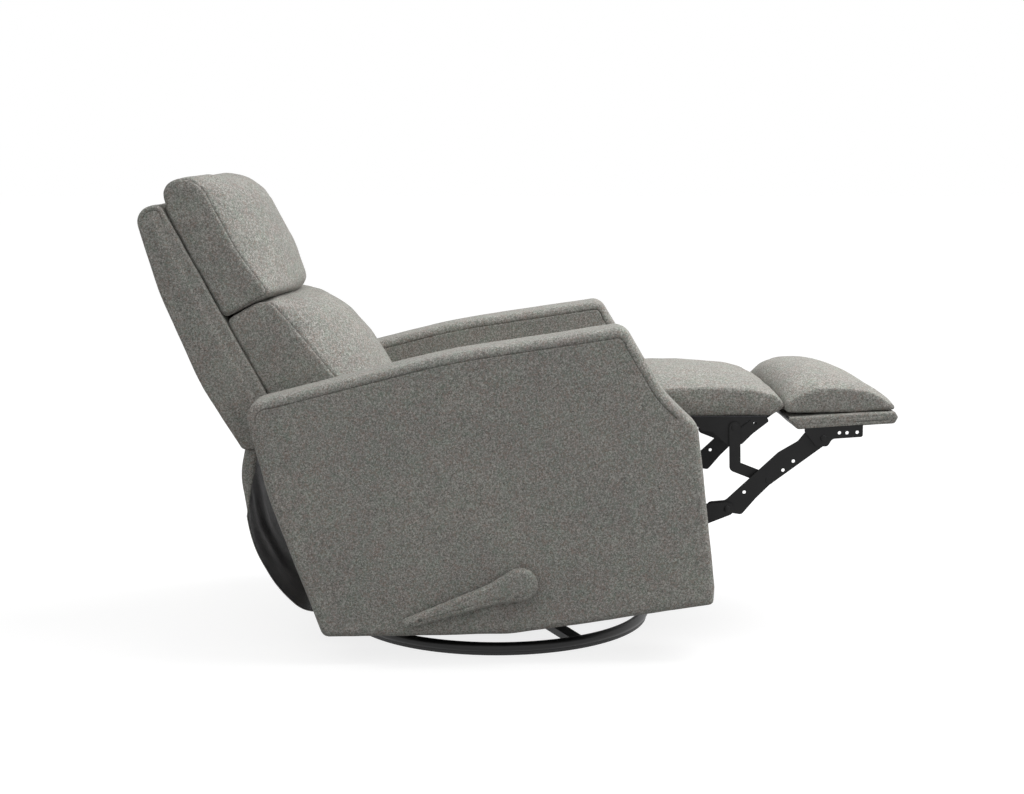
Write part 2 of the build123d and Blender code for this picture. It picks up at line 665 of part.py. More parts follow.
control_face = strap([control_pivot, control_end], control_width)
control_face -= disc(control_pivot, rivet_radius + running_clearance)
parts["control_links"] = both(across(control_face, control_x, control_x + link_thickness))
bent_face = strap([bent_start, bent_corner, bent_end], bent_width)
bent_face -= disc(bent_start, rivet_radius + running_clearance)
parts["bent_links"] = both(across(bent_face, bent_x, bent_x + link_thickness))

# ---- Calf pad ----
calf_bracket_face = outline(calf_plate_points) + hull(
    [(calf_pivot, calf_eye_radius), (calf_strap_end, calf_strap_radius)])
calf_bracket_face -= disc(calf_pivot, rivet_radius + running_clearance)
for place in calf_plate_holes:
    calf_bracket_face -= disc(place, link_hole)
calf_bracket_face -= strap(calf_plate_slit, slit_width)
parts["calf_brackets"] = both(across(calf_bracket_face, calf_x, calf_x + link_thickness))
parts["calf_board"] = box((-calf_x, calf_x), (calf_board_rear, calf_board_front),
                          (calf_board_low, calf_board_high))
calf_profile = [(forward, calf_low + up, radius, move) for forward, up, radius, move in calf_points]
parts["calf_pad"] = crowned(calf_profile, calf_crown, calf_half_width, calf_edge)

# ---- Foot pad ----
tab_face = outline(footrest_tab_points) - disc(ottoman_pivot, rivet_radius + running_clearance)
for place in footrest_tab_holes:
    tab_face -= disc(place, link_hole)
parts["footrest_brackets"] = both(across(tab_face, lift_x, lift_x + link_thickness))
parts["footrest_board"] = across(outline(foot_board_points), -lift_x, lift_x)
parts["foot_pad"] = crowned(foot_points, foot_crown, foot_half_width, foot_edge)

# ---- Back ----
shell_face = outline([(back_foot[0], back_foot[1], 8), (back_line(shell_top), shell_top, 14)]
                     + shell_rear_points)
back_block = across(shell_face, -back_half_width, back_half_width)
back_block = fillet(back_block.faces().sort_by(Axis.X)[0].edges()
                    + back_block.faces().sort_by(Axis.X)[-1].edges(), 6)
board_top = shell_top - 2 * back_padding
board_bottom = back_foot[1] + back_padding
back_board_face = make_face(Polyline(
    (back_line(board_bottom) - back_padding, board_bottom),
    (back_line(board_top) - back_padding, board_top),
    (back_line(board_top) - back_padding - back_board, board_top),
    (back_line(board_bottom) - back_padding - back_board, board_bottom), close=True))
board_half = back_half_width - back_padding
back_frame = across(back_board_face, -board_half, board_half)
parts["back_frame"] = back_frame
parts["back_cover"] = back_block - back_frame
back_bracket = hull([(back_pivot, back_bosses[0][1])] + [
    ((back_line(up) - bracket_inset, up), radius) for up, radius in back_bosses[1:]])
back_bracket -= disc(back_pivot, rivet_radius + running_clearance)
parts["back_brackets"] = both(across(back_bracket, back_half_width,
                                     back_half_width + back_bracket_thickness))
for name, points, crown in (("head_cushion", head_points, head_crown),
                            ("lumbar_cushion", lumbar_points, lumbar_crown)):
    profile = [(back_line(up) + out, up, radius, move) for out, up, radius, move in points]
    parts[name] = crowned(profile, crown, back_half_width, back_edge, back_crown_power)

os.makedirs("parts", exist_ok=True)
for name, shape in parts.items():
    export_step(shape, f"parts/{name}.step")
print(len(parts), "nodes")
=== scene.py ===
import json
from math import acos, atan2, cos, pi, radians, sin, tan

import bmesh
import bpy
import numpy as np
from mathutils import Matrix, Vector, kdtree, noise


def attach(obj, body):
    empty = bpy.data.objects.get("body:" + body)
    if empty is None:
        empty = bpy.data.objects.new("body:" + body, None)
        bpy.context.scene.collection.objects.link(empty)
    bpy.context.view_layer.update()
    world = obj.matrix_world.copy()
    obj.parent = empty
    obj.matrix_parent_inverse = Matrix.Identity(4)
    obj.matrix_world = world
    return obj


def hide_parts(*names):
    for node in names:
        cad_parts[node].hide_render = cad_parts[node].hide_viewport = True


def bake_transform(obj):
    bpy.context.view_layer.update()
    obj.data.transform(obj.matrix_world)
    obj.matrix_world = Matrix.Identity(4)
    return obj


# A swivel glider recliner in grey tweed, lying back with its footrest open.
# Sizes are in millimetres and become metres where a mesh is made. A place is written
# (across, forward, up); the chair faces -Y, so forward is -Y.

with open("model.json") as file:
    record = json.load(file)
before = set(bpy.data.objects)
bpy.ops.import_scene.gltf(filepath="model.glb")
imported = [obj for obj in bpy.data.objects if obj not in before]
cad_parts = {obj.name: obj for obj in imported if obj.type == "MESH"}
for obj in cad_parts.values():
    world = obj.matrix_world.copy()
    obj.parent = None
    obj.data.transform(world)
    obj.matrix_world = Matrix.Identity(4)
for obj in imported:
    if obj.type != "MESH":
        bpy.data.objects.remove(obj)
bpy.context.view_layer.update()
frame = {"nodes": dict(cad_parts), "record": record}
scene = bpy.context.scene
scene.view_settings.view_transform = "Standard"
print("frame loaded:", len(frame["nodes"]), "solids")

# ---------- camera, light and floor ----------

cameraView = {
    "place": (-3.38952, 0.02170, 0.93751),
    "down": 7.907,            # degrees below level
    "towardsFront": 0.876,    # degrees turned towards the footrest
    "lens": 56.95,
}


def aimCamera(view):
    down, turn = radians(view["down"]), radians(view["towardsFront"])
    right = Vector((-sin(turn), -cos(turn), 0))
    ahead = Vector((cos(turn) * cos(down), -sin(turn) * cos(down), -sin(down)))
    upward = right.cross(ahead)
    data = bpy.data.cameras.new("photoCamera")
    data.sensor_width = 36
    data.lens = view["lens"]
    data.clip_end = 200
    camera = bpy.data.objects.new("photoCamera", data)
    scene.collection.objects.link(camera)
    turned = Matrix((right, upward, -ahead)).transposed().to_4x4()
    camera.matrix_world = Matrix.Translation(view["place"]) @ turned
    scene.camera = camera


def paint(red, green, blue):
    # a colour as it looks on a screen, 0 to 255, as the shader's linear numbers
    level = [value / 255 for value in (red, green, blue)]
    return tuple(v / 12.92 if v <= 0.04045 else ((v + 0.055) / 1.055) ** 2.4 for v in level) + (1,)


class Wire:
    # one output of a node; sums and products of wires add Math nodes
    def __init__(self, graph, socket):
        self.graph, self.socket = graph, socket

    def also(self, out):
        # another output of the same node
        return Wire(self.graph, self.socket.node.outputs[out])

    def using(self, operation, *values, clamp=False):
        return self.graph.node("Math", {"operation": operation, "use_clamp": clamp},
                               dict(enumerate(values)))

    def __add__(self, other):
        return self.using("ADD", self, other)

    def __radd__(self, other):
        return self.using("ADD", other, self)

    def __sub__(self, other):
        return self.using("SUBTRACT", self, other)

    def __rsub__(self, other):
        return self.using("SUBTRACT", other, self)

    def __mul__(self, other):
        return self.using("MULTIPLY", self, other)

    def __truediv__(self, other):
        return self.using("DIVIDE", self, other)

    def __abs__(self):
        return self.using("ABSOLUTE", self)

    def over(self, other):
        return self.using("GREATER_THAN", self, other)

    def sine(self):
        return self.using("SINE", self)

    def whole(self):
        return self.using("FLOOR", self)

    def held(self):
        # kept between 0 and 1
        return self.using("ADD", self, 0.0, clamp=True)


class Graph:
    # a node tree while it is wired
    def __init__(self, tree):
        self.tree = tree
        tree.nodes.clear()

    def node(self, kind, settings=None, values=None, out=0):
        made = self.tree.nodes.new(kind if "Node" in kind else "ShaderNode" + kind)
        for key, value in (settings or {}).items():
            if key == "stops":
                ramp = made.color_ramp
                ramp.elements.remove(ramp.elements[1])
                for number, (at, colour) in enumerate(value):
                    stop = ramp.elements[0] if number == 0 else ramp.elements.new(at)
                    stop.position, stop.color = at, colour
            else:
                setattr(made, key, value)
        for key, value in (values or {}).items():
            if isinstance(value, Wire):
                self.tree.links.new(value.socket, made.inputs[key])
            else:
                made.inputs[key].default_value = value
        return None if out is None else Wire(self, made.outputs[out])

    def apart(self, vector):
        first = self.node("SeparateXYZ", None, {0: vector})
        return [first, first.also(1), first.also(2)]

    def shownRays(self):
        # 1 for what the camera, a reflection or glass sees, 0 for light on the object
        camera = self.node("LightPath", out="Is Camera Ray")
        return (camera + camera.also("Is Glossy Ray")
                + camera.also("Is Transmission Ray")).held()


class Finish(Graph):
    # a material while it is wired
    def __init__(self, name):
        self.material = bpy.data.materials.new(name)
        self.material.use_nodes = True
        super().__init__(self.material.node_tree)

    def mixed(self, share, first, second, how="MIX"):
        return self.node("Mix", {"data_type": "RGBA", "blend_type": how},
                         {0: share, 6: first, 7: second}, out=2)

    def grain(self, where, size, detail=2.0, rough=0.5):
        # soft noise whose patches are about that many millimetres across
        return self.node("TexNoise", None, {"Vector": where, "Scale": 1000 / size, "Detail": detail,
                                            "Roughness": rough})

    def ends(self, shader):
        self.node("OutputMaterial", None, {"Surface": shader}, out=None)
        return self.material

    def surface(self, colour, roughness, height, strength, depth, more=None):
        # a principled shader over a relief that many metres deep where the height is 1
        bump = self.node("Bump", None, {"Strength": strength, "Distance": depth, "Height": height})
        return self.ends(self.node("BsdfPrincipled", None, {
            "Base Color": colour, "Roughness": roughness, "Normal": bump, **(more or {})}))


def newFinish(name):
    # a finish, and each place in the object's own coordinates
    finish = Finish(name)
    return finish, finish.node("TexCoord", out="Object")


studioLook = {
    "world": 0.66,            # light from all round
    "key": 104.0,             # watts of the soft lamp, high up beyond the footrest
    "keySize": 2.8,
    "keyPlace": (0.25, -1.7, 3.0),
    "floorGlow": 0.81,        # how white the floor looks by itself
    "floorShade": 0.30,       # how much of the light and shadow it shows
    "floorColour": 0.30,      # what it throws back on the object
    "floorReach": 60,         # metres from the middle to its edge
}


def buildStudio(look):
    world = bpy.data.worlds.new("whiteRoom")
    scene.world = world
    world.use_nodes = True
    room = Graph(world.node_tree)
    white = (1, 1, 1, 1)
    plain = room.node("Background", None, {"Color": white, "Strength": look["world"]})
    bright = room.node("Background", None, {"Color": white, "Strength": 1.0})
    either = room.node("MixShader", None, {0: room.shownRays(), 1: plain, 2: bright})
    room.node("OutputWorld", None, {"Surface": either}, out=None)

    lamp = bpy.data.lights.new("keyLamp", "AREA")
    lamp.energy = look["key"]
    lamp.size = look["keySize"]
    lampObject = bpy.data.objects.new("keyLamp", lamp)
    lampObject.location = look["keyPlace"]
    aim = Vector((0, -0.1, 0.5)) - lampObject.location
    lampObject.rotation_mode = "QUATERNION"
    lampObject.rotation_quaternion = aim.to_track_quat("-Z", "Y")
    scene.collection.objects.link(lampObject)

    finish = Finish("studioFloor")
    matt = finish.node("BsdfDiffuse", None, {"Color": (look["floorColour"],) * 3 + (1,)})
    faint = finish.node("BsdfDiffuse", None, {"Color": (look["floorShade"],) * 3 + (1,)})
    glow = finish.node("Emission", None, {"Strength": look["floorGlow"]})
    shown = finish.node("AddShader", None, {0: faint, 1: glow})
    material = finish.ends(finish.node("MixShader", None, {
        0: finish.shownRays(), 1: matt, 2: shown}))
    mesh = bpy.data.meshes.new("studioFloor")
    wide = look["floorReach"]
    mesh.from_pydata([(-wide, -wide, 0), (wide, -wide, 0), (wide, wide, 0), (-wide, wide, 0)], [],
                     [(0, 1, 2, 3)])
    mesh.materials.append(material)
    floor = bpy.data.objects.new("studioFloor", mesh)
    scene.collection.objects.link(floor)


aimCamera(cameraView)
buildStudio(studioLook)
print("camera, light and floor ready")

# ---------- finishes ----------

tweedLook = {
    "pick": 1.7,              # width of one yarn
    "fleck": 3.4,             # size of the coloured flecks
    "dark": (84, 83, 80),
    "middle": (151, 150, 145),
    "light": (207, 206, 200),
    "red": (142, 126, 116),
    "green": (126, 135, 126),
    "fleckShare": 0.16,       # share of flecks in each of the two colours
    # seamWidth: width of the painted shade line along a seam
    "seamWidth": 0.8,
}


def weaveTweed(name, look):
    finish, where = newFinish(name)
    facing = finish.node("TexCoord", out="Normal")
    x, y, z = finish.apart(where)
    acrossness, frontness, upness = [abs(part) for part in finish.apart(facing)]
    sideOn = acrossness.over(frontness) * acrossness.over(upness)
    level = upness.over(frontness)
    along = x + (y - x) * sideOn
    rise = z + (y - z) * level
    rise = rise + (z - rise) * sideOn
    picksAlong = along * (1000 / look["pick"])
    picksUp = rise * (1000 / look["pick"])
    pickPlace = finish.node("CombineXYZ", None, {0: picksAlong.whole(), 1: picksUp.whole(),
                                                 2: sideOn * 7 + level * 3})
    pickChance = finish.node("TexWhiteNoise", {"noise_dimensions": "3D"}, {"Vector": pickPlace})
    fibre = finish.grain(where, 1.3, 3.0, 0.6)
    clump = finish.grain(where, 3.6, 2.0, 0.7)
    shade = pickChance * 0.32 + fibre * 0.45 + clump * 0.85 - 0.31
    colour = finish.node("ValToRGB", {"stops": [
        (0.14, paint(*look["dark"])), (0.5, paint(*look["middle"])),
        (0.86, paint(*look["light"]))]}, {"Fac": shade})
    cells = finish.node("TexVoronoi", None, {"Vector": where, "Scale": 1000 / look["fleck"]},
                        out="Color")
    chance = finish.apart(cells)[0]
    redFleck = chance.over(1 - look["fleckShare"])
    greenFleck = 1 - chance.over(look["fleckShare"])
    colour = finish.mixed(redFleck * (0.2 + fibre * 0.5), colour, paint(*look["red"]))
    colour = finish.mixed(greenFleck * (0.2 + fibre * 0.5), colour, paint(*look["green"]))
    tint = finish.grain(where, 30, 3.0, 0.65)
    mottle = finish.grain(where, 110, 3.0, 0.55)
    colour = finish.mixed(1.0, colour, finish.node("ValToRGB", {"stops": [
        (0.34, (0.955, 1.0, 0.97, 1)), (0.5, (1, 0.995, 0.99, 1)), (0.66, (1.0, 0.95, 0.945, 1))]},
        {"Fac": tint}), "MULTIPLY")
    colour = finish.mixed(1.0, colour, finish.node("ValToRGB", {"stops": [
        (0.3, (0.90, 0.90, 0.905, 1)), (0.7, (1.0, 1.0, 0.99, 1))]}, {"Fac": mottle}), "MULTIPLY")
    seam = abs(finish.node("Attribute", {"attribute_name": "seam"}, out="Fac")) * 1000
    # seam groove: its depth in the bump, and a painted shade in the colour
    seamGrooveAndShade = (1.5 - seam / look["seamWidth"]).held()
    paintedShadeBesideSeam = (1 - seam / 5).held()
    # painted shade: colour darkened towards paint(60, 58, 55) along the seam groove, and faintly
    # for 5 mm beside it, where the groove's shadow falls
    colour = finish.mixed(seamGrooveAndShade * 0.36 + paintedShadeBesideSeam * 0.08, colour, paint(60, 58, 55))
    overYarn = (picksAlong * pi).sine() * (picksUp * pi).sine()
    overTop = overYarn.over(0)
    yarn = abs((picksAlong * pi).sine()) * overTop + abs((picksUp * pi).sine()) * (1 - overTop)
    height = yarn * 0.5 + fibre * 0.6 + clump * 0.4 - seamGrooveAndShade * 1.2
    return finish.surface(colour, 0.86 + fibre * 0.12, height, 0.6, 0.0006, {
        "Sheen Weight": 0.08, "Sheen Roughness": 0.5, "Specular IOR Level": 0.2})


# pale: lighter bluish colour, a painted sheen on the black cloth
liningLook = {"colour": (14, 14, 16), "pale": (44, 44, 52), "thread": 0.5}


def weaveLining(name, look):
    finish, where = newFinish(name)
    x, y, z = finish.apart(where)
    threads = (x * (2000 * pi / look["thread"])).sine() * (z * (2000 * pi / look["thread"])).sine()
    creaseAndSheen = finish.grain(where, 45, 3.0, 0.55)
    # painted sheen: the colour turns pale in the crease noise's high patches, which also raise the
    # creases and the roughness
    colour = finish.mixed((creaseAndSheen * 1.8 - 0.5).held(), paint(*look["colour"]),
                          paint(*look["pale"]))
    height = threads * 0.12 + creaseAndSheen * 5
    return finish.surface(colour, 0.38 + creaseAndSheen * 0.2, height, 0.5, 0.0008, {
        "Sheen Weight": 0.1, "Specular IOR Level": 0.5})


steelLook = {"colour": (11, 11, 12), "rubbed": (70, 68, 66), "roughness": 0.52}


def paintSteel(name, look):
    # black paint on pressed steel, rubbed through in fine scratches
    finish, where = newFinish(name)
    drawn = finish.node("Mapping", None, {"Vector": where, "Scale": (1.0, 0.12, 1.0),
                                          "Rotation": (0.6, 0.0, 0.0)})
    scratch = finish.grain(drawn, 1.4, 3.0, 0.65)
    patch = finish.grain(where, 28, 3.0, 0.6)
    rubbed = ((scratch - 0.66) * 9).held() * ((patch - 0.52) * 5).held()
    colour = finish.mixed(rubbed * 0.5, paint(*look["colour"]), paint(*look["rubbed"]))
    peel = finish.grain(where, 2.2, 2.0, 0.5)
    roughness = look["roughness"] + patch * 0.14 - rubbed * 0.1
    return finish.surface(colour, roughness, peel - rubbed * 0.5, 0.3, 0.0003, {
        "Metallic": rubbed * 0.5, "Specular IOR Level": 0.35})


enamelLook = {"colour": (10, 10, 11), "roughness": 0.33}


def bakeEnamel(name, look):
    # semi-gloss powder coat with a faint orange peel and settled dust
    finish, where = newFinish(name)
    peel = finish.grain(where, 3.5, 2.0, 0.5)
    dust = finish.grain(where, 60, 4.0, 0.65)
    up = finish.apart(finish.node("TexCoord", out="Normal"))[2]
    settled = ((dust - 0.42) * 2.5).held() * up.held() * 0.05
    colour = finish.mixed(settled, paint(*look["colour"]), paint(140, 136, 130))
    return finish.surface(colour, look["roughness"] + dust * 0.12 + settled, peel, 0.25, 0.0004, {
        "Coat Weight": 0.12, "Coat Roughness": 0.22, "Specular IOR Level": 0.35})


metalLooks = {
    "bearing_steel": {"colour": (168, 168, 170), "roughness": 0.24, "cloud": 9},
    "zinc": {"colour": (174, 172, 160), "roughness": 0.38, "cloud": 5},
}


def turnMetal(name, look):
    finish, where = newFinish(name)
    cloud = finish.grain(where, look["cloud"], 3.0, 0.6)
    fine = finish.grain(where, 0.8, 2.0, 0.6)
    dark = tuple(int(part * 0.72) for part in look["colour"])
    colour = finish.mixed((cloud * 1.6 - 0.3).held(), paint(*dark), paint(*look["colour"]))
    return finish.surface(colour, look["roughness"] + cloud * 0.14, fine, 0.2, 0.0002,
                          {"Metallic": 1.0})


woodLook = {"pale": (196, 164, 120), "dark": (146, 108, 70), "ring": 7.0}


def sawWood(name, look):
    # beech boards with long grain and dark pores
    finish, where = newFinish(name)
    long = finish.node("Mapping", None, {"Vector": where, "Scale": (0.35, 0.09, 1.0)})
    swirl = finish.grain(long, 40, 3.0, 0.55)
    z = finish.apart(long)[2]
    rings = ((z * (6283 / look["ring"])) + swirl * 14).sine() * 0.5 + 0.5
    pores = finish.grain(finish.node("Mapping", None, {"Vector": where, "Scale": (1, 0.06, 1)}),
                         1.1, 2.0, 0.7)
    poreMask = ((pores - 0.6) * 8).held()
    colour = finish.mixed((rings * 0.7 + swirl * 0.3).held(), paint(*look["pale"]),
                          paint(*look["dark"]))
    colour = finish.mixed(poreMask * 0.5, colour, paint(92, 62, 38))
    return finish.surface(colour, 0.62 + rings * 0.12, rings * 0.3 - poreMask, 0.4, 0.0004)


mouldedLooks = {
    "floor_plastic": {"colour": (26, 26, 27), "roughness": 0.48, "texture": 1.2, "depth": 0.0002},
    "stop_rubber": {"colour": (22, 22, 22), "roughness": 0.82, "texture": 2.5, "depth": 0.0003},
}


def mouldSoft(name, look):
    finish, where = newFinish(name)
    skin = finish.grain(where, look["texture"], 2.0, 0.6)
    scuff = finish.grain(where, 22, 4.0, 0.7)
    worn = ((scuff - 0.55) * 4).held()
    colour = finish.mixed(worn * 0.35, paint(*look["colour"]), paint(70, 69, 67))
    return finish.surface(colour, look["roughness"] + worn * 0.12, skin, 0.4, look["depth"])


finishes = {
    "tweed": weaveTweed("greyTweed", tweedLook),
    "black_cloth": weaveLining("blackLining", liningLook),
    "black_steel": paintSteel("blackSteel", steelLook),
    "base_enamel": bakeEnamel("baseEnamel", enamelLook),
    "wood": sawWood("beechWood", woodLook),
}
for slotName, look in metalLooks.items():
    finishes[slotName] = turnMetal(slotName, look)
for slotName, look in mouldedLooks.items():
    finishes[slotName] = mouldSoft(slotName, look)


def dressSolids():
    # every solid of the frame takes the finish of its own slot
    slots = {entry["node"]: entry["material_slot"] for entry in frame["record"]["subparts"]}
    for name, solid in frame["nodes"].items():
        solid.data.materials.clear()
        solid.data.materials.append(finishes[slots[name]])


dressSolids()
print("finishes ready:", ", ".join(finishes))

# ---------- shaping helpers ----------


def runAlong(line):
    # the length walked from a line's start to each of its points
    return np.concatenate(([0], np.cumsum(np.linalg.norm(np.diff(line, axis=0), axis=1))))


def evenly(line, count):
    # a closed line walked in steps of one length
    closed = np.vstack((line, line[:1]))
    run = runAlong(closed)
    stops = np.linspace(0, run[-1], count, endpoint=False)
    return np.column_stack([np.interp(stops, run, closed[:, axis])
                            for axis in range(line.shape[1])])


def roundedOutline(corners, count):
    # a side view's outline from (forward, up, radius) corners
    line = []
    for number, (forward, up, radius) in enumerate(corners):
        here = np.array((forward, up), float)
        back = np.array(corners[number - 1][:2], float) - here
        ahead = np.array(corners[(number + 1) % len(corners)][:2], float) - here
        back /= np.linalg.norm(back)
        ahead /= np.linalg.norm(ahead)
        half = acos(max(-1.0, min(1.0, float(back @ ahead)))) / 2
        inward = (back + ahead) / np.linalg.norm(back + ahead)
        middle = here + inward * radius / sin(half)
        first = here + back * radius / tan(half) - middle
        last = here + ahead * radius / tan(half) - middle
        start = atan2(first[1], first[0])
        turn = (atan2(last[1], last[0]) - start + pi) % (2 * pi) - pi
        for share in np.linspace(0, 1, 14):
            angle = start + turn * share
            line.append(middle + radius * np.array((cos(angle), sin(angle))))
    return evenly(np.array(line), count)


def outwardFrom(line):
    tangent = np.roll(line, -1, axis=0) - np.roll(line, 1, axis=0)
    tangent /= np.linalg.norm(tangent, axis=1)[:, None]
    area = np.sum(line[:, 0] * np.roll(line[:, 1], -1) - np.roll(line[:, 0], -1) * line[:, 1])
    return np.column_stack((tangent[:, 1], -tangent[:, 0])) * np.sign(area)


def inFrame(points):
    # (across, forward, up) in millimetres as the frame's metres
    points = np.asarray(points, float)
    return np.column_stack((points[:, 0], -points[:, 1], points[:, 2])) / 1000


def loftFaces(ringCount, perRing):
    # faces between rings of points, and one at each end
    faces = []
    for ring in range(ringCount - 1):
        for step in range(perRing):
            after = (step + 1) % perRing
            low, high = ring * perRing, (ring + 1) * perRing
            faces.append((low + step, low + after, high + after, high + step))
    last = (ringCount - 1) * perRing
    return faces + [tuple(range(perRing)), tuple(range(last, last + perRing))]


def makePiece(name, points, faces, finish="tweed"):
    mesh = bpy.data.meshes.new(name)
    mesh.from_pydata([tuple(point) for point in points], [], faces)
    shell = bmesh.new()
    shell.from_mesh(mesh)
    bmesh.ops.recalc_face_normals(shell, faces=shell.faces)
    for face in shell.faces:
        face.smooth = True
    shell.to_mesh(mesh)
    shell.free()
    mesh.materials.append(finishes[finish])
    piece = bpy.data.objects.new(name, mesh)
    scene.collection.objects.link(piece)
    return piece


def readPoints(mesh):
    points = np.empty(len(mesh.vertices) * 3)
    mesh.vertices.foreach_get("co", points)
    return points.reshape(-1, 3)


def readNormals(mesh):
    normals = np.empty(len(mesh.vertices) * 3)
    mesh.vertex_normals.foreach_get("vector", normals)
    return normals.reshape(-1, 3)


def writePoints(mesh, points):
    mesh.vertices.foreach_set("co", np.asarray(points, float).ravel())
    mesh.update()


def writeSeam(mesh, values):
    # distance to the nearest seam, in metres, with a sign for its two sides
    attribute = mesh.attributes.get("seam") or mesh.attributes.new("seam", "FLOAT", "POINT")
    attribute.data.foreach_set("value", np.asarray(values, np.float32))


def readSeam(mesh):
    values = np.empty(len(mesh.vertices), np.float32)
    mesh.attributes["seam"].data.foreach_get("value", values)
    return values.astype(float)


def noiseAt(points, size, seed, stretch=(1, 1, 1)):
    # smooth noise from -1 to 1 with patches of that many millimetres
    scaled = points * 1000 / size * np.array(stretch) + seed * 17.3
    return np.array([noise.noise(Vector(place)) for place in scaled])


def push(mesh, amounts):
    # moves each point along its normal by that many millimetres
    writePoints(mesh, readPoints(mesh) + readNormals(mesh) * (np.asarray(amounts) / 1000)[:, None])


def rumple(mesh, look):
    # the unevenness of padding under cloth, and small gathers along the seams
    points = readPoints(mesh)
    moved = np.zeros(len(points))
    for number, (size, depth) in enumerate(look["waves"]):
        moved += noiseAt(points, size, look["seed"] + number) * depth
    if look.get("gather"):
        seam = np.abs(readSeam(mesh)) * 1000
        along = noiseAt(points, look["gatherPitch"], look["seed"] + 9, (0.3, 1, 1))
        moved -= np.exp(-(seam / look["gatherReach"]) ** 2) * look["gather"] * (0.5 + along)
    push(mesh, moved)


def distanceTo(points, path):
    # each point's distance to a line through the path's places, in metres
    nearest = np.full(len(points), 1e9)
    for start, end in zip(path, path[1:]):
        run = end - start
        share = np.clip(((points - start) @ run) / max(run @ run, 1e-12), 0, 1)
        nearest = np.minimum(nearest, np.linalg.norm(points - start - share[:, None] * run, axis=1))
    return nearest


def crease(mesh, creases):
    # each crease is (path in millimetres, width, depth): a soft furrow with a low ridge beside it
    points = readPoints(mesh)
    moved = np.zeros(len(points))
    for path, width, depth in creases:
        away = distanceTo(points, inFrame(path)) * 1000 / width
        moved += depth * (-np.exp(-away ** 2) + 0.45 * np.exp(-(away - 1.7) ** 2))
    push(mesh, moved)


# ---------- sewn blocks: arms, back shell, lever ----------


def seamShare(line, look):
    # 1 where the outline has a seam beside it, between the two places that the look names
    if not look.get("seamSpan"):
        return np.zeros(len(line))
    if look["seamSpan"] == "all":
        return np.ones(len(line))
    first, last = [int(np.argmin(np.linalg.norm(line - np.array(place), axis=1)))
                   for place in look["seamSpan"]]
    step = np.linalg.norm(line[1] - line[0])
    number = (np.arange(len(line)) - first) % len(line)
    span = (last - first) % len(line)
    inside = np.minimum(number, span - number) * step / 10
    return np.clip(np.where(number <= span, inside, 0), 0, 1)


def sewnBlock(name, line, xLow, xHigh, look):
    # a padded board under cloth: two faces, a rounded edge with a seam beside it, and a band
    outward = outwardFrom(line)
    spine = np.array(look["spine"], float)
    run = spine[1] - spine[0]
    share = np.clip(((line - spine[0]) @ run) / (run @ run), 0, 1)
    core = spine[0] + share[:, None] * run
    inward = core - line
    inward /= np.linalg.norm(inward, axis=1)[:, None]
    lean = np.clip(-(inward * outward).sum(1), 0.35, 1)
    roundness, seamIn = look["round"], look["round"] + look["seamIn"]
    sewn = seamShare(line, look)

    def inset(distance):
        return line + inward * (distance / lean)[:, None]

    rows = []               # (ring, depth under the face, distance from the seam)
    groove = look["groove"] * sewn
    deep = look["deep"]
    for part in (0.06, 0.16, 0.27, 0.39, 0.51, 0.62, 0.73, 0.83, 0.91, 0.97):
        ring = core + (inset(deep) - core) * part
        rows.append((ring, -look["pillow"] * (1 - part ** 4), deep - seamIn + 40 * (1 - part)))
    for beyond in (0.62 * (deep - seamIn), 0.32 * (deep - seamIn), 4.5, 2.6, 1.5, 0.7, 0, -0.7,
                   -look["seamIn"]):
        rows.append((inset(seamIn + beyond), groove * np.exp(-(beyond / 1.3) ** 2), beyond))
    for turn in range(1, 8):
        angle = radians(90 * turn / 7)
        rows.append((inset(roundness * (1 - sin(angle))), roundness * (1 - cos(angle)),
                     -look["seamIn"] - roundness * angle))
    halfBand = (xHigh - xLow) / 2 - roundness
    for turn in range(1, look["bandRows"] + 1):
        place = turn / look["bandRows"]
        rows.append((inset(-look["crown"] * (1 - (1 - place) ** 2)), roundness + halfBand * place,
                     -look["seamIn"] - roundness * pi / 2 - halfBand * place))
    rings, seams = [], []
    for face, inwards, half in ((xLow, 1, rows), (xHigh, -1, rows[-2::-1])):
        for ring, depth, seam in half:
            rings.append(np.column_stack((face + inwards * depth + 0 * sewn, ring)))
            seams.append(seam + (1 - sewn) * 1000)
    piece = makePiece(name, inFrame(np.vstack(rings)), loftFaces(len(rings), look["count"]))
    writeSeam(piece.data, np.concatenate(seams) / 1000)
    rumple(piece.data, look)
    return piece


armLook = {
    "corners": [(-338, 54, 16), (-439, 330, 400), (-482, 503, 34), (-100, 600, 1500),
                (236, 650, 26), (312, 524, 160), (376, 462, 34), (414, 150, 30), (412, 114, 10),
                (20, 58, 300)],
    "inner": 260, "outer": 380, "count": 420, "spine": [(-180, 320), (150, 360)],
    "round": 15, "seamIn": 3, "groove": 1.6, "deep": 44, "pillow": 2.2, "crown": 1.8,
    "bandRows": 7, "seed": 3, "waves": [(160, 1.6), (55, 0.7), (18, 0.2)],
    "gather": 0.5, "gatherPitch": 16, "gatherReach": 9,
    "seamSpan": [(-474, 468), (358, 478)],    # over the top, from low on the rear corner
}

for side, sign in (("Left", 1), ("Right", -1)):
    low, high = sorted((sign * armLook["inner"], sign * armLook["outer"]))
    arm = sewnBlock("arm" + side, roundedOutline(armLook["corners"], armLook["count"]), low, high,
                    dict(armLook, seed=armLook["seed"] + sign))
    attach(arm, "seat_box")
    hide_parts("arm_cover_" + side.lower())
print("arms sewn")

backLine = {"forward": -395, "up": 398, "lean": 28.2}


def backFace(up):
    # how far forward the front of the back shell is at a height
    return backLine["forward"] - (up - backLine["up"]) * tan(radians(backLine["lean"]))


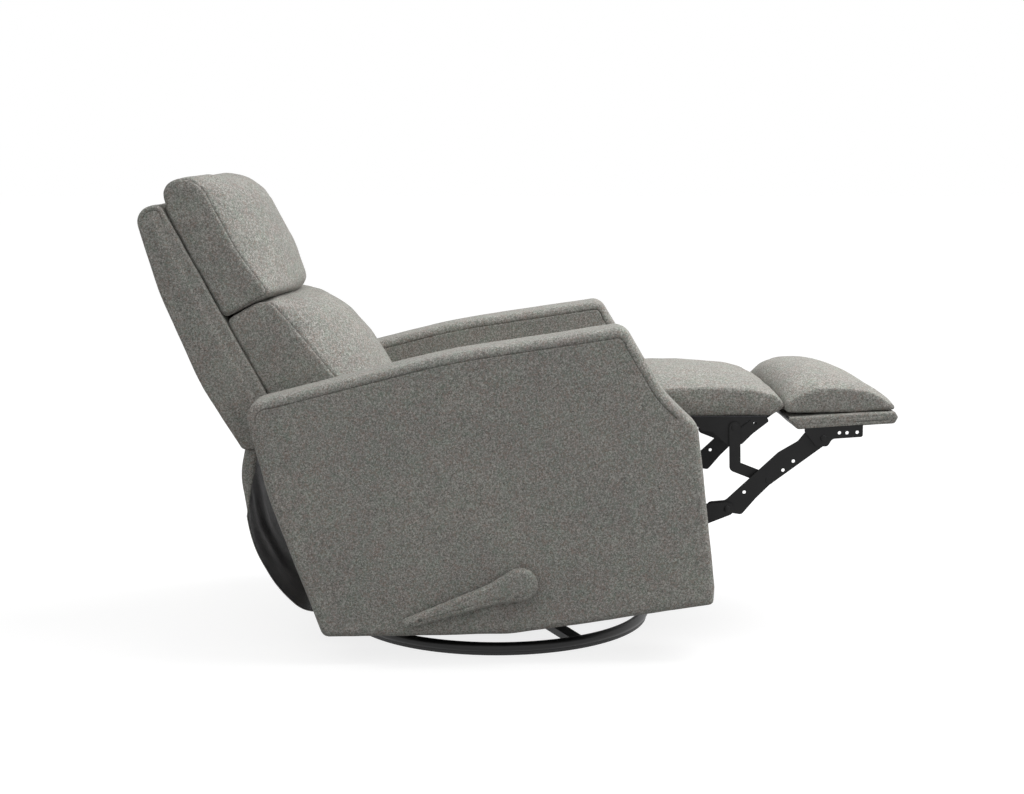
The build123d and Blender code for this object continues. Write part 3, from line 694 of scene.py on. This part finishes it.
shellLook = {
    "corners": [(backLine["forward"], backLine["up"], 8), (backFace(873), 873, 14),
                (-706, 875, 32), (-655, 702, 300), (-583, 530, 300), (-503, 398, 10)],
    "half": 249, "count": 300, "spine": [(-470, 445), (-660, 820)],
    "round": 6, "seamIn": 3.5, "groove": 1.3, "deep": 24, "pillow": 2.0, "crown": 3.0,
    "bandRows": 16, "seed": 21, "waves": [(150, 1.6), (50, 0.7), (18, 0.25)],
    "gather": 0.5, "gatherPitch": 14, "gatherReach": 8,
    "seamSpan": [(backFace(846), 846), (-706, 846)],   # over the top
}
shell = sewnBlock("backShell", roundedOutline(shellLook["corners"], shellLook["count"]),
                  -shellLook["half"], shellLook["half"], shellLook)
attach(shell, "back")
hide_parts("back_cover")
print("back shell sewn")

leverLook = {
    "hub": (40, 162, 32.5), "angle": 199, "length": 238, "neckShare": 0.28, "neck": 19.5,
    "tip": 10, "inner": -385.5, "outer": -406,
    "count": 260, "round": 9, "seamIn": 1.6, "groove": 0.5, "deep": 11.5, "pillow": 0.7,
    "crown": 0.6, "bandRows": 3, "seed": 41, "waves": [(40, 0.4), (14, 0.2)],
}


def leverOutline(look):
    # round the big end, along the taper and round the tip
    forward, up, hub = look["hub"]
    turn = radians(look["angle"])
    along = np.array((cos(turn), sin(turn)))
    across = np.array((-sin(turn), cos(turn)))
    start = np.array((forward, up), float)
    stations = [(0, hub), (look["neckShare"] * look["length"], look["neck"]),
                (look["length"] - look["tip"], look["tip"])]
    side = []
    first, last = stations[0], stations[-1]
    for angle in np.linspace(190, 76, 26):
        side.append((first[0] + hub * cos(radians(angle)), hub * sin(radians(angle))))
    neckAt, neck = stations[1]
    lean = atan2(neck - look["tip"], last[0] - neckAt)
    side.append((neckAt * 0.72, neck + 2.6))
    side.append((neckAt, neck))
    for share in np.linspace(0.15, 1, 8):
        side.append((neckAt + (last[0] - neckAt) * share, neck + (look["tip"] - neck) * share))
    for angle in np.linspace(90 - lean * 20, 4, 12):
        side.append((last[0] + look["tip"] * cos(radians(angle)),
                     look["tip"] * sin(radians(angle))))
    side = [place for place in side if place[1] > 0]
    whole = side + [(place[0], -place[1]) for place in reversed(side)]
    return evenly(np.array([start + along * place[0] + across * place[1] for place in whole]),
                  look["count"])


def sewLever(look):
    forward, up, hub = look["hub"]
    turn = radians(look["angle"])
    tipAt = look["length"] - look["tip"] - 2
    spine = [(forward, up), (forward + tipAt * cos(turn), up + tipAt * sin(turn))]
    return sewnBlock("leverHandle", leverOutline(look), look["outer"], look["inner"],
                     dict(look, spine=spine))


lever = sewLever(leverLook)
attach(lever, "lever")
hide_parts("handle_lever")
print("lever covered")

# ---------- cushions ----------

seatTop = {"forward": 250, "up": 500, "slope": 11, "thick": 120}


def seatLine(forward):
    # height of the seat cushion's slanted top
    return seatTop["up"] + (forward - seatTop["forward"]) * tan(radians(seatTop["slope"]))


def againstBack(corners):
    return [(backFace(up) + out, up, radius, move) for out, up, radius, move in corners]


calfLow = 460                                          # underside of the calf pad
footRest = [(566, 467), (700, 468.2), (786, 473.5)]    # and of the foot pad

fillLook = {
    "steps": 20,              # steps of cloth simulation
    "quality": 6, "mass": 0.3, "stretch": 12, "bend": 0.6,
    "touching": 2.5,          # cloth this near to what it rests on stands still
    "stations": 41, "ring": 200,
    "seamFromEnd": 3.5, "seamDepth": 2.2, "seamWidth": 2.6,
}

backCushionLook = {
    "body": "back", "half": 246, "edge": 4, "power": 2.4, "voxel": 5.5, "pressure": 3.0,
    "cap": 6, "sideCap": 3, "rests": "back", "seamed": True,
    "waves": [(120, 2.0), (45, 0.9), (16, 0.25)], "gather": 0.9, "gatherPitch": 13,
    "gatherReach": 12, "fill": 0.75,
}
padLook = {
    "voxel": 5.0, "pressure": 3.0, "cap": 6, "sideCap": 2, "seamed": False,
    "waves": [(110, 1.6), (40, 0.8), (16, 0.3)], "fill": 0.7,
}

# a corner is (forward, up, radius, (forward, up) share of the crown that moves it)
cushionLooks = {
    "headCushion": {
        **backCushionLook, "replaces": "head_cushion", "crown": 86, "seed": 51,
        "corners": againstBack([
            (0.3, 656, 10, (0, 0)), (0.3, 850, 60, (0, 0)), (20, 911, 26, (0, 0.05)),
            (80, 932, 26, (0.75, 0)), (102, 907, 24, (0.93, 0)), (100, 786, 160, (0.92, 0)),
            (117, 706, 12, (0.47, 0)), (100, 697, 7, (0.3, 0))]),
        "creases": [
            ([(120, -420, 760), (112, -396, 716)], 7, 1.8),
            ([(60, -412, 770), (66, -388, 722)], 8, 1.6),
            ([(160, -436, 790), (170, -410, 722)], 9, 1.8),
            ([(-40, -410, 762), (-60, -390, 722)], 8, 1.2),
            ([(-232, -470, 750), (-200, -464, 768)], 5, 1.0),
            ([(-236, -450, 726), (-196, -446, 740)], 5, 1.2),
            ([(-236, -600, 925), (-150, -590, 936)], 14, 1.8),
            ([(20, -570, 946), (70, -560, 946)], 22, 3.0)],
    },
    "lumbarCushion": {
        **backCushionLook, "replaces": "lumbar_cushion", "crown": 103, "seed": 61,
        "corners": againstBack([
            (0.3, 416, 14, (0, 0)), (0.3, 650, 10, (0, 0)), (76, 686, 10, (0.3, 0)),
            (110, 689, 14, (0.8, 0.03)), (124, 652, 60, (0.97, 0)), (137, 604, 110, (1, 0)),
            (166, 505, 60, (0.8, 0)), (160, 446, 30, (0.36, 0)), (137, 424, 18, (0.18, 0))]),
        "creases": [
            ([(-240, -428, 690), (-190, -410, 680)], 7, 1.6),
            ([(-240, -440, 694), (-170, -420, 694)], 6, 1.3),
            ([(-236, -404, 660), (-200, -386, 640)], 7, 1.2),
            ([(236, -428, 690), (190, -410, 680)], 7, 1.6)],
    },
    "seatCushion": {
        "body": "seat_box", "replaces": "seat_cushion", "half": 245, "crown": 6, "edge": 12,
        "corners": [
            (forward, seatLine(forward) + up, radius, move) for forward, up, radius, move in [
                (-290, -120, 14, (0, 0)), (-290, 0, 26, (0, 1)), (-40, 0, 400, (0, 1)),
                (200, 14, 40, (0, 1)), (236, -19, 34, (0.4, 0)), (240, -66, 30, (0.4, 0)),
                (222, -124, 18, (0, 0)), (190, -120, 18, (0, 0))]],
        "nose": (186, 228), "voxel": 6.5, "pressure": 4.0, "cap": 14, "sideCap": 4,
        "rests": "seat", "seamed": True,
        "waves": [(140, 2.0), (50, 1.0), (18, 0.3)], "seed": 71, "gather": 1.2,
        "gatherPitch": 14, "gatherReach": 12, "fill": 0.7,
        "creases": [([(-150, 205, 500), (-60, 214, 505)], 16, 1.6),
                    ([(60, 210, 503), (160, 202, 498)], 16, 1.4)],
    },
    "calfPad": {
        **padLook, "body": "calf", "replaces": "calf_pad", "half": 229, "crown": 21, "edge": 6,
        "rests": "calf", "seed": 81,
        "corners": [(forward, calfLow + up, radius, move) for forward, up, radius, move in [
            (264, 0, 20, (0, 0)), (540, 0, 13, (0, 0)), (572, 17, 6, (0.1, 0)),
            (551, 41, 20, (0.1, 0.25)), (505, 55, 90, (0, 0.45)), (400, 60, 300, (0, 0.85)),
            (296, 57, 24, (0, 1)), (264, 48, 18, (0, 0.6))]],
        "creases": [([(-226, 520, 500), (-150, 524, 508)], 12, 1.4)],
    },
    "footPad": {
        **padLook, "body": "footrest", "replaces": "foot_pad", "half": 243, "crown": 16,
        "edge": 7, "rests": "foot", "seed": 91,
        "corners": [
            (566, 467, 8, (0, 0)), (700, 468.2, 300, (0, 0)), (786, 473.5, 4, (0.2, 0)),
            (780, 484, 10, (0.3, 0.1)), (761, 497, 24, (0.2, 0.2)), (733, 512, 50, (0.1, 0.5)),
            (680, 524, 200, (0, 1.1)), (625, 522, 50, (-0.1, 1.3)),
            (588, 509, 30, (-0.5, 1.3)), (565, 488, 14, (-0.1, 0.4))],
        "creases": [([(-246, 568, 488), (-234, 584, 503), (-205, 600, 514)], 9, 0.9),
                    ([(246, 568, 488), (234, 584, 503), (205, 600, 514)], 9, 0.9),
                    ([(-238, 765, 490), (-190, 760, 500)], 9, 1.2)],
    },
}


def noseShare(forward, start):
    # 0 behind the place where a cushion narrows, 1 in front of it
    share = np.clip((forward - start + 8) / 16, 0, 1)
    return share * share * (3 - 2 * share)


def loftCushion(name, look):
    shares = np.sin(np.linspace(-1, 1, fillLook["stations"]) * pi / 2)
    rings = []
    for share in shares:
        swell = look["crown"] * (1 - abs(share) ** look.get("power", 2)) - look["edge"] * max(
            0.0, (abs(share) - 0.82) / 0.18) ** 2
        ring = roundedOutline([(forward + swell * move[0], up + swell * move[1], radius)
                               for forward, up, radius, move in look["corners"]],
                              fillLook["ring"])
        across = np.full(len(ring), share * look["half"])
        if "nose" in look:
            start, width = look["nose"]
            narrow = noseShare(ring[:, 0], start)
            across = across * (1 - narrow * (1 - (width - 4) / look["half"]))
        rings.append(np.column_stack((across, ring)))
    piece = makePiece(name, inFrame(np.vstack(rings)), loftFaces(len(rings), fillLook["ring"]))
    return piece, [inFrame(rings[0]), inFrame(rings[-1])]


def depthUnder(kind, points):
    # how far each point is from the surface the cushion lies on, in millimetres
    forward, up = -points[:, 1] * 1000, points[:, 2] * 1000
    if kind == "back":
        return (forward - backFace(up)) * cos(radians(backLine["lean"]))
    if kind == "seat":
        return up - seatLine(forward) + seatTop["thick"]
    if kind == "calf":
        return up - calfLow
    return up - np.interp(forward, *zip(*footRest))


def madePlain(piece, change):
    # the modifier's result becomes the piece's own mesh
    depsgraph = bpy.context.evaluated_depsgraph_get()
    mesh = bpy.data.meshes.new_from_object(piece.evaluated_get(depsgraph))
    piece.modifiers.remove(change)
    old = piece.data
    piece.data = mesh
    mesh.name = piece.name
    bpy.data.meshes.remove(old)
    return mesh


def evenMesh(piece, voxel):
    change = piece.modifiers.new("evenMesh", "REMESH")
    change.mode = "VOXEL"
    change.voxel_size = voxel / 1000
    change.use_smooth_shade = True
    mesh = madePlain(piece, change)
    mesh.materials.clear()
    mesh.materials.append(finishes["tweed"])


def addFilling(piece, look, seamLoops):
    # the cloth stands still at its seams and where it rests, and the filling swells the rest
    points = readPoints(piece.data)
    places = np.vstack(seamLoops)
    tree = kdtree.KDTree(len(places))
    for number, place in enumerate(places):
        tree.insert(place, number)
    tree.balance()
    fromSeam = np.array([tree.find(place)[2] for place in points]) * 1000
    resting = depthUnder(look["rests"], points)
    held = (fromSeam < look["voxel"] * 1.1) | (resting < fillLook["touching"])
    group = piece.vertex_groups.new(name="held")
    group.add([int(index) for index in np.nonzero(held)[0]], 1.0, "REPLACE")
    filling = piece.modifiers.new("filling", "CLOTH")
    cloth = filling.settings
    cloth.vertex_group_mass = "held"
    cloth.use_pressure = True
    cloth.uniform_pressure_force = look["pressure"]
    cloth.effector_weights.gravity = 0
    cloth.quality = fillLook["quality"]
    cloth.mass = fillLook["mass"]
    cloth.tension_stiffness = cloth.compression_stiffness = fillLook["stretch"]
    cloth.bending_stiffness = fillLook["bend"]
    filling.collision_settings.use_collision = False
    filling.collision_settings.use_self_collision = False
    filling.point_cache.frame_start = 1
    filling.point_cache.frame_end = fillLook["steps"]
    return points


cushions = {}
started = {}
for cushionName, look in cushionLooks.items():
    cushion, loops = loftCushion(cushionName, look)
    evenMesh(cushion, look["voxel"])
    started[cushionName] = addFilling(cushion, look, loops)
    cushions[cushionName] = cushion
print("cushions cut:", ", ".join(f"{name} {len(piece.data.vertices)}"
                                 for name, piece in cushions.items()))

for step in range(1, fillLook["steps"] + 1):
    scene.frame_set(step)
depsgraph = bpy.context.evaluated_depsgraph_get()
for cushionName, cushion in cushions.items():
    look = cushionLooks[cushionName]
    filled = cushion.evaluated_get(depsgraph).to_mesh()
    moved = readPoints(filled) - started[cushionName]
    cushion.evaluated_get(depsgraph).to_mesh_clear()
    reach = np.linalg.norm(moved, axis=1) * 1000
    print(cushionName, "swelled by", round(float(np.percentile(reach, 50)), 1), "and at most",
          round(float(reach.max()), 1), "mm")
    moved *= np.minimum(1, look["cap"] / np.maximum(reach, 1e-6))[:, None]
    sideways = np.abs(moved[:, 0]) * 1000
    moved[:, 0] *= np.minimum(1, look["sideCap"] / np.maximum(sideways, 1e-6))
    cushion.modifiers.clear()
    cushion.vertex_groups.clear()
    writePoints(cushion.data, started[cushionName] + moved)
scene.frame_set(1)
print("cushions filled")


def smoother(piece):
    change = piece.modifiers.new("smoother", "SUBSURF")
    change.levels = change.render_levels = 1
    for polygon in madePlain(piece, change).polygons:
        polygon.use_smooth = True


def sewSeams(piece, look):
    # the line where the side panels meet the rest, a few millimetres in from each end
    mesh = piece.data
    points = readPoints(mesh)
    if not look["seamed"]:
        writeSeam(mesh, np.ones(len(points)))
        return
    width = np.full(len(points), look["half"] - fillLook["seamFromEnd"])
    if "nose" in look:
        start, nose = look["nose"]
        width -= noseShare(-points[:, 1] * 1000, start) * (look["half"] - nose + 4)
    away = np.abs(points[:, 0]) * 1000 - width
    writeSeam(mesh, away / 1000)
    push(mesh, -fillLook["seamDepth"] * np.exp(-(away / fillLook["seamWidth"]) ** 2))


for cushionName, cushion in cushions.items():
    look = cushionLooks[cushionName]
    smoother(cushion)
    sewSeams(cushion, look)
    rumple(cushion.data, look)
    crease(cushion.data, look["creases"])
    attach(cushion, look["body"])
    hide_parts(look["replaces"])
print("cushions sewn")

# ---------- board under the foot pad, covered in the same cloth ----------

boardLook = {
    "corners": [(588, 436, 8), (780, 447, 8), (787, 460, 6), (780, 471, 4), (700, 467.5, 60),
                (566, 459, 4)],
    "half": 253, "count": 220, "spine": [(610, 453), (760, 459)],
    "round": 5, "seamIn": 2, "groove": 0.6, "deep": 10, "pillow": 0.6, "crown": 0.6,
    "bandRows": 14, "seed": 101, "waves": [(90, 0.7), (30, 0.3)],
}
footBoard = sewnBlock("footBoard", roundedOutline(boardLook["corners"], boardLook["count"]),
                      -boardLook["half"], boardLook["half"], boardLook)


def lineUnderside(piece):
    # black dust cloth on the board's rear and underside
    mesh = piece.data
    mesh.materials.append(finishes["black_cloth"])
    for polygon in mesh.polygons:
        facing, middle = polygon.normal, polygon.center
        if abs(middle.x) < 0.246 and (facing.z < -0.5 or facing.y > 0.5):
            polygon.material_index = 1


lineUnderside(footBoard)
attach(footBoard, "footrest")
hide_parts("footrest_board")
print("foot board covered")

# ---------- cloth between the back and the seat box ----------

clothLook = {
    "line": [(-499.4, 397.4), (-510.4, 345), (-491.5, 215.5), (-438.6, 119), (-391.3, 74.5),
             (-346.8, 70.3)],
    "bend": 45, "half": 252, "thick": 1.6, "rows": 70, "columns": 84,
    "curlIn": 28, "curlWidth": 22, "curlFrom": 266, "curlTo": 350, "seed": 111,
}


def hangCloth(look):
    corners, rows, columns = look["line"], look["rows"], look["columns"]
    path = [np.array(corners[0], float)]
    for before, here, after in zip(corners, corners[1:], corners[2:]):
        here, before, after = (np.array(place, float) for place in (here, before, after))
        back, ahead = before - here, after - here
        cut = min(look["bend"], np.linalg.norm(back) / 2, np.linalg.norm(ahead) / 2)
        first = here + back / np.linalg.norm(back) * cut
        last = here + ahead / np.linalg.norm(ahead) * cut
        for share in np.linspace(0, 1, 9):
            path.append((1 - share) ** 2 * first + 2 * share * (1 - share) * here
                        + share ** 2 * last)
    path.append(np.array(corners[-1], float))
    path = np.array(path)
    run = runAlong(path)
    length = run[-1]
    stops = np.linspace(0, length, rows)
    forward = np.interp(stops, run, path[:, 0])
    up = np.interp(stops, run, path[:, 1])
    across = np.linspace(-look["half"], look["half"], columns)
    middle = np.zeros((rows, columns, 3))
    for row in range(rows):
        turned = np.clip((up[row] - look["curlFrom"]) / (look["curlTo"] - look["curlFrom"]), 0, 1)
        loose = sin(pi * row / (rows - 1))
        for column, x in enumerate(across):
            edge = max(0.0, (abs(x) - look["half"] + look["curlWidth"]) / look["curlWidth"])
            wave = noise.noise(Vector((x / 70, stops[row] / 120, look["seed"]))) * 5 * loose
            middle[row, column] = (x - np.sign(x) * edge ** 2 * 10 * turned,
                                   forward[row] + wave + look["curlIn"] * turned * edge ** 1.6,
                                   up[row])
    normal = np.cross(np.gradient(middle, axis=0), np.gradient(middle, axis=1))
    normal /= np.linalg.norm(normal, axis=2)[:, :, None]
    if normal[0, columns // 2, 1] > 0:
        normal = -normal                      # the outer side looks to the rear
    outer = (middle + normal * look["thick"] / 2).reshape(-1, 3)
    inner = (middle - normal * look["thick"] / 2).reshape(-1, 3)
    faces, total = [], rows * columns
    for row in range(rows - 1):
        for column in range(columns - 1):
            a = row * columns + column
            faces.append((a, a + 1, a + columns + 1, a + columns))
            faces.append(tuple(total + index for index in (a, a + columns, a + columns + 1, a + 1)))
    rim = (list(range(columns))
           + [row * columns + columns - 1 for row in range(1, rows)]
           + [(rows - 1) * columns + column for column in range(columns - 2, -1, -1)]
           + [row * columns for row in range(rows - 2, 0, -1)])
    for number, here in enumerate(rim):
        after = rim[(number + 1) % len(rim)]
        faces.append((here, after, after + total, here + total))
    piece = makePiece("rearCloth", inFrame(np.vstack((outer, inner))), faces)
    mesh = piece.data
    mesh.materials.append(finishes["black_cloth"])
    for polygon in mesh.polygons:
        if min(polygon.vertices) >= total:
            polygon.material_index = 1
    seam = (np.abs(np.tile(np.tile(across, rows), 2)) - look["half"] + look["curlWidth"] - 2) / 1000
    writeSeam(mesh, seam)
    return piece, length


rearCloth, clothLength = hangCloth(clothLook)
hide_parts("rear_skirt")
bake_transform(rearCloth)
print("rear cloth hung, cut to", round(clothLength), "mm long")

# ---------- rivets and staples ----------

rivetLook = {"radius": 7.0, "steps": 14}
rivetPlaces = {
    # body: (distance from the middle, forward, up, height of the head)
    "lift": [(252, 452, 277, 2.6)],
    "ottoman": [(252, 640, 418, 2.6), (248, 534, 334, 0.8)],
    "bent": [(240, 466, 438, 0.8)],
    "control": [(240.9, 431, 273, 0.7)],
    "calf": [(236, 290, 488, 0.8)],
}


def newTree(name, inputs):
    # a Geometry Nodes group with named inputs; gives its wires
    tree = bpy.data.node_groups.new(name, "GeometryNodeTree")
    graph = Graph(tree)
    for label, kind in [("Geometry", "Geometry")] + inputs:
        tree.interface.new_socket(label, in_out="INPUT", socket_type="NodeSocket" + kind)
    tree.interface.new_socket("Geometry", in_out="OUTPUT", socket_type="NodeSocketGeometry")
    return graph, graph.node("NodeGroupInput")


def closeTree(graph, instances, given):
    # real faces in their finish, as the export needs them
    smooth = graph.node("GeometryNodeSetShadeSmooth", None, {"Geometry": instances})
    real = graph.node("GeometryNodeRealizeInstances", None, {"Geometry": smooth})
    coloured = graph.node("GeometryNodeSetMaterial", None, {
        "Geometry": real, "Material": given.also("Finish")})
    graph.node("NodeGroupOutput", None, {"Geometry": coloured}, out=None)
    return graph.tree


def rivetTree():
    # domed heads, one on every point, as tall as the point's own height value
    graph, given = newTree("rivetHeads", [("Head radius", "Float"), ("Steps round", "Int"),
                                          ("Finish", "Material")])
    dome = graph.node("GeometryNodeMeshUVSphere", None, {
        "Rings": 8, "Segments": given.also("Steps round"), "Radius": given.also("Head radius")})
    height = graph.node("GeometryNodeInputNamedAttribute", {"data_type": "FLOAT"},
                        {"Name": "headHeight"})
    size = graph.node("CombineXYZ", None, {"X": height / given.also("Head radius"), "Y": 1, "Z": 1})
    heads = graph.node("GeometryNodeInstanceOnPoints", None, {
        "Points": given, "Instance": dome, "Scale": size})
    return closeTree(graph, heads, given)


def socketNames(tree):
    return {item.name: item.identifier for item in tree.interface.items_tree
            if item.item_type == "SOCKET" and item.in_out == "INPUT"}


def growOn(name, points, tree, values, attributes=None):
    # a plain mesh made by a node tree on the given points, in millimetres
    seeds = bpy.data.meshes.new(name + "Points")
    seeds.from_pydata([tuple(point) for point in inFrame(points)], [], [])
    for key, numbers in (attributes or {}).items():
        kind = "FLOAT_VECTOR" if np.ndim(numbers) == 2 else "FLOAT"
        attribute = seeds.attributes.new(key, kind, "POINT")
        attribute.data.foreach_set("vector" if kind == "FLOAT_VECTOR" else "value",
                                   np.asarray(numbers, np.float32).ravel())
    holder = bpy.data.objects.new(name + "Points", seeds)
    scene.collection.objects.link(holder)
    change = holder.modifiers.new("grow", "NODES")
    change.node_group = tree
    names = socketNames(tree)
    for key, value in values.items():
        change[names[key]] = value
    depsgraph = bpy.context.evaluated_depsgraph_get()
    mesh = bpy.data.meshes.new_from_object(holder.evaluated_get(depsgraph))
    mesh.name = name
    holder.modifiers.remove(change)
    bpy.data.objects.remove(holder)
    piece = bpy.data.objects.new(name, mesh)
    scene.collection.objects.link(piece)
    return piece


stapleLook = {
    "width": 10.0, "leg": 3.0, "bend": 0.9, "wire": 0.45, "sides": 6, "pitch": 27.0, "count": 17,
    "proud": 0.5,             # how far the crown's middle is below the face
    "askew": 0.06,            # radians that one is turned at most
}
stapleRows = {
    # name: (body, rows of (forward, up, lean of the face in degrees))
    "footLining": ("footrest", [(612, 437.3, 3.4), (762, 446.0, 3.4)]),
    "calfLining": ("calf", [(334, 447.5, 0.0), (518, 447.5, 0.0)]),
}


def stapleTree():
    # wire staples standing on the points, each turned by the point's own angles
    graph, given = newTree("staples", [("Crown width", "Float"), ("Wire radius", "Float"),
                                       ("Finish", "Material")])
    loop = graph.node("GeometryNodeCurvePrimitiveQuadrilateral", {"mode": "RECTANGLE"}, {
        "Width": given.also("Crown width"), "Height": stapleLook["leg"] / 1000})
    eased = graph.node("GeometryNodeFilletCurve", {"mode": "POLY"}, {
        "Curve": loop, "Count": 3, "Radius": stapleLook["bend"] / 1000})
    wire = graph.node("GeometryNodeCurvePrimitiveCircle", {"mode": "RADIUS"}, {
        "Resolution": stapleLook["sides"], "Radius": given.also("Wire radius")})
    staple = graph.node("GeometryNodeCurveToMesh", None, {"Curve": eased, "Profile Curve": wire})
    turn = graph.node("GeometryNodeInputNamedAttribute", {"data_type": "FLOAT_VECTOR"},
                      {"Name": "turn"})
    placed = graph.node("GeometryNodeInstanceOnPoints", None, {
        "Points": given, "Instance": staple, "Rotation": turn})
    return closeTree(graph, placed, given)


rivets = rivetTree()
for body, places in rivetPlaces.items():
    points, heights = [], []
    for away, forward, up, height in places:
        for sign in (-1, 1):
            points.append((sign * away, forward, up))
            heights.append(height / 1000)
    heads = growOn(body + "Rivets", points, rivets, {
        "Head radius": rivetLook["radius"] / 1000, "Steps round": rivetLook["steps"],
        "Finish": finishes["black_steel"]}, {"headHeight": heights})
    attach(heads, body)
print("rivets set")

staples = stapleTree()
for rowName, (body, rows) in stapleRows.items():
    points, turns = [], []
    for forward, up, lean in rows:
        for number in range(stapleLook["count"]):
            across = (number - (stapleLook["count"] - 1) / 2) * stapleLook["pitch"]
            points.append((across, forward, up - stapleLook["proud"] + stapleLook["leg"] / 2))
            turns.append((radians(90 + lean), 0, stapleLook["askew"] * sin(number * 2.4)))
    pinned = growOn(rowName + "Staples", points, staples, {
        "Crown width": stapleLook["width"] / 1000, "Wire radius": stapleLook["wire"] / 1000,
        "Finish": finishes["zinc"]}, {"turn": turns})
    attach(pinned, body)
print("staples set")
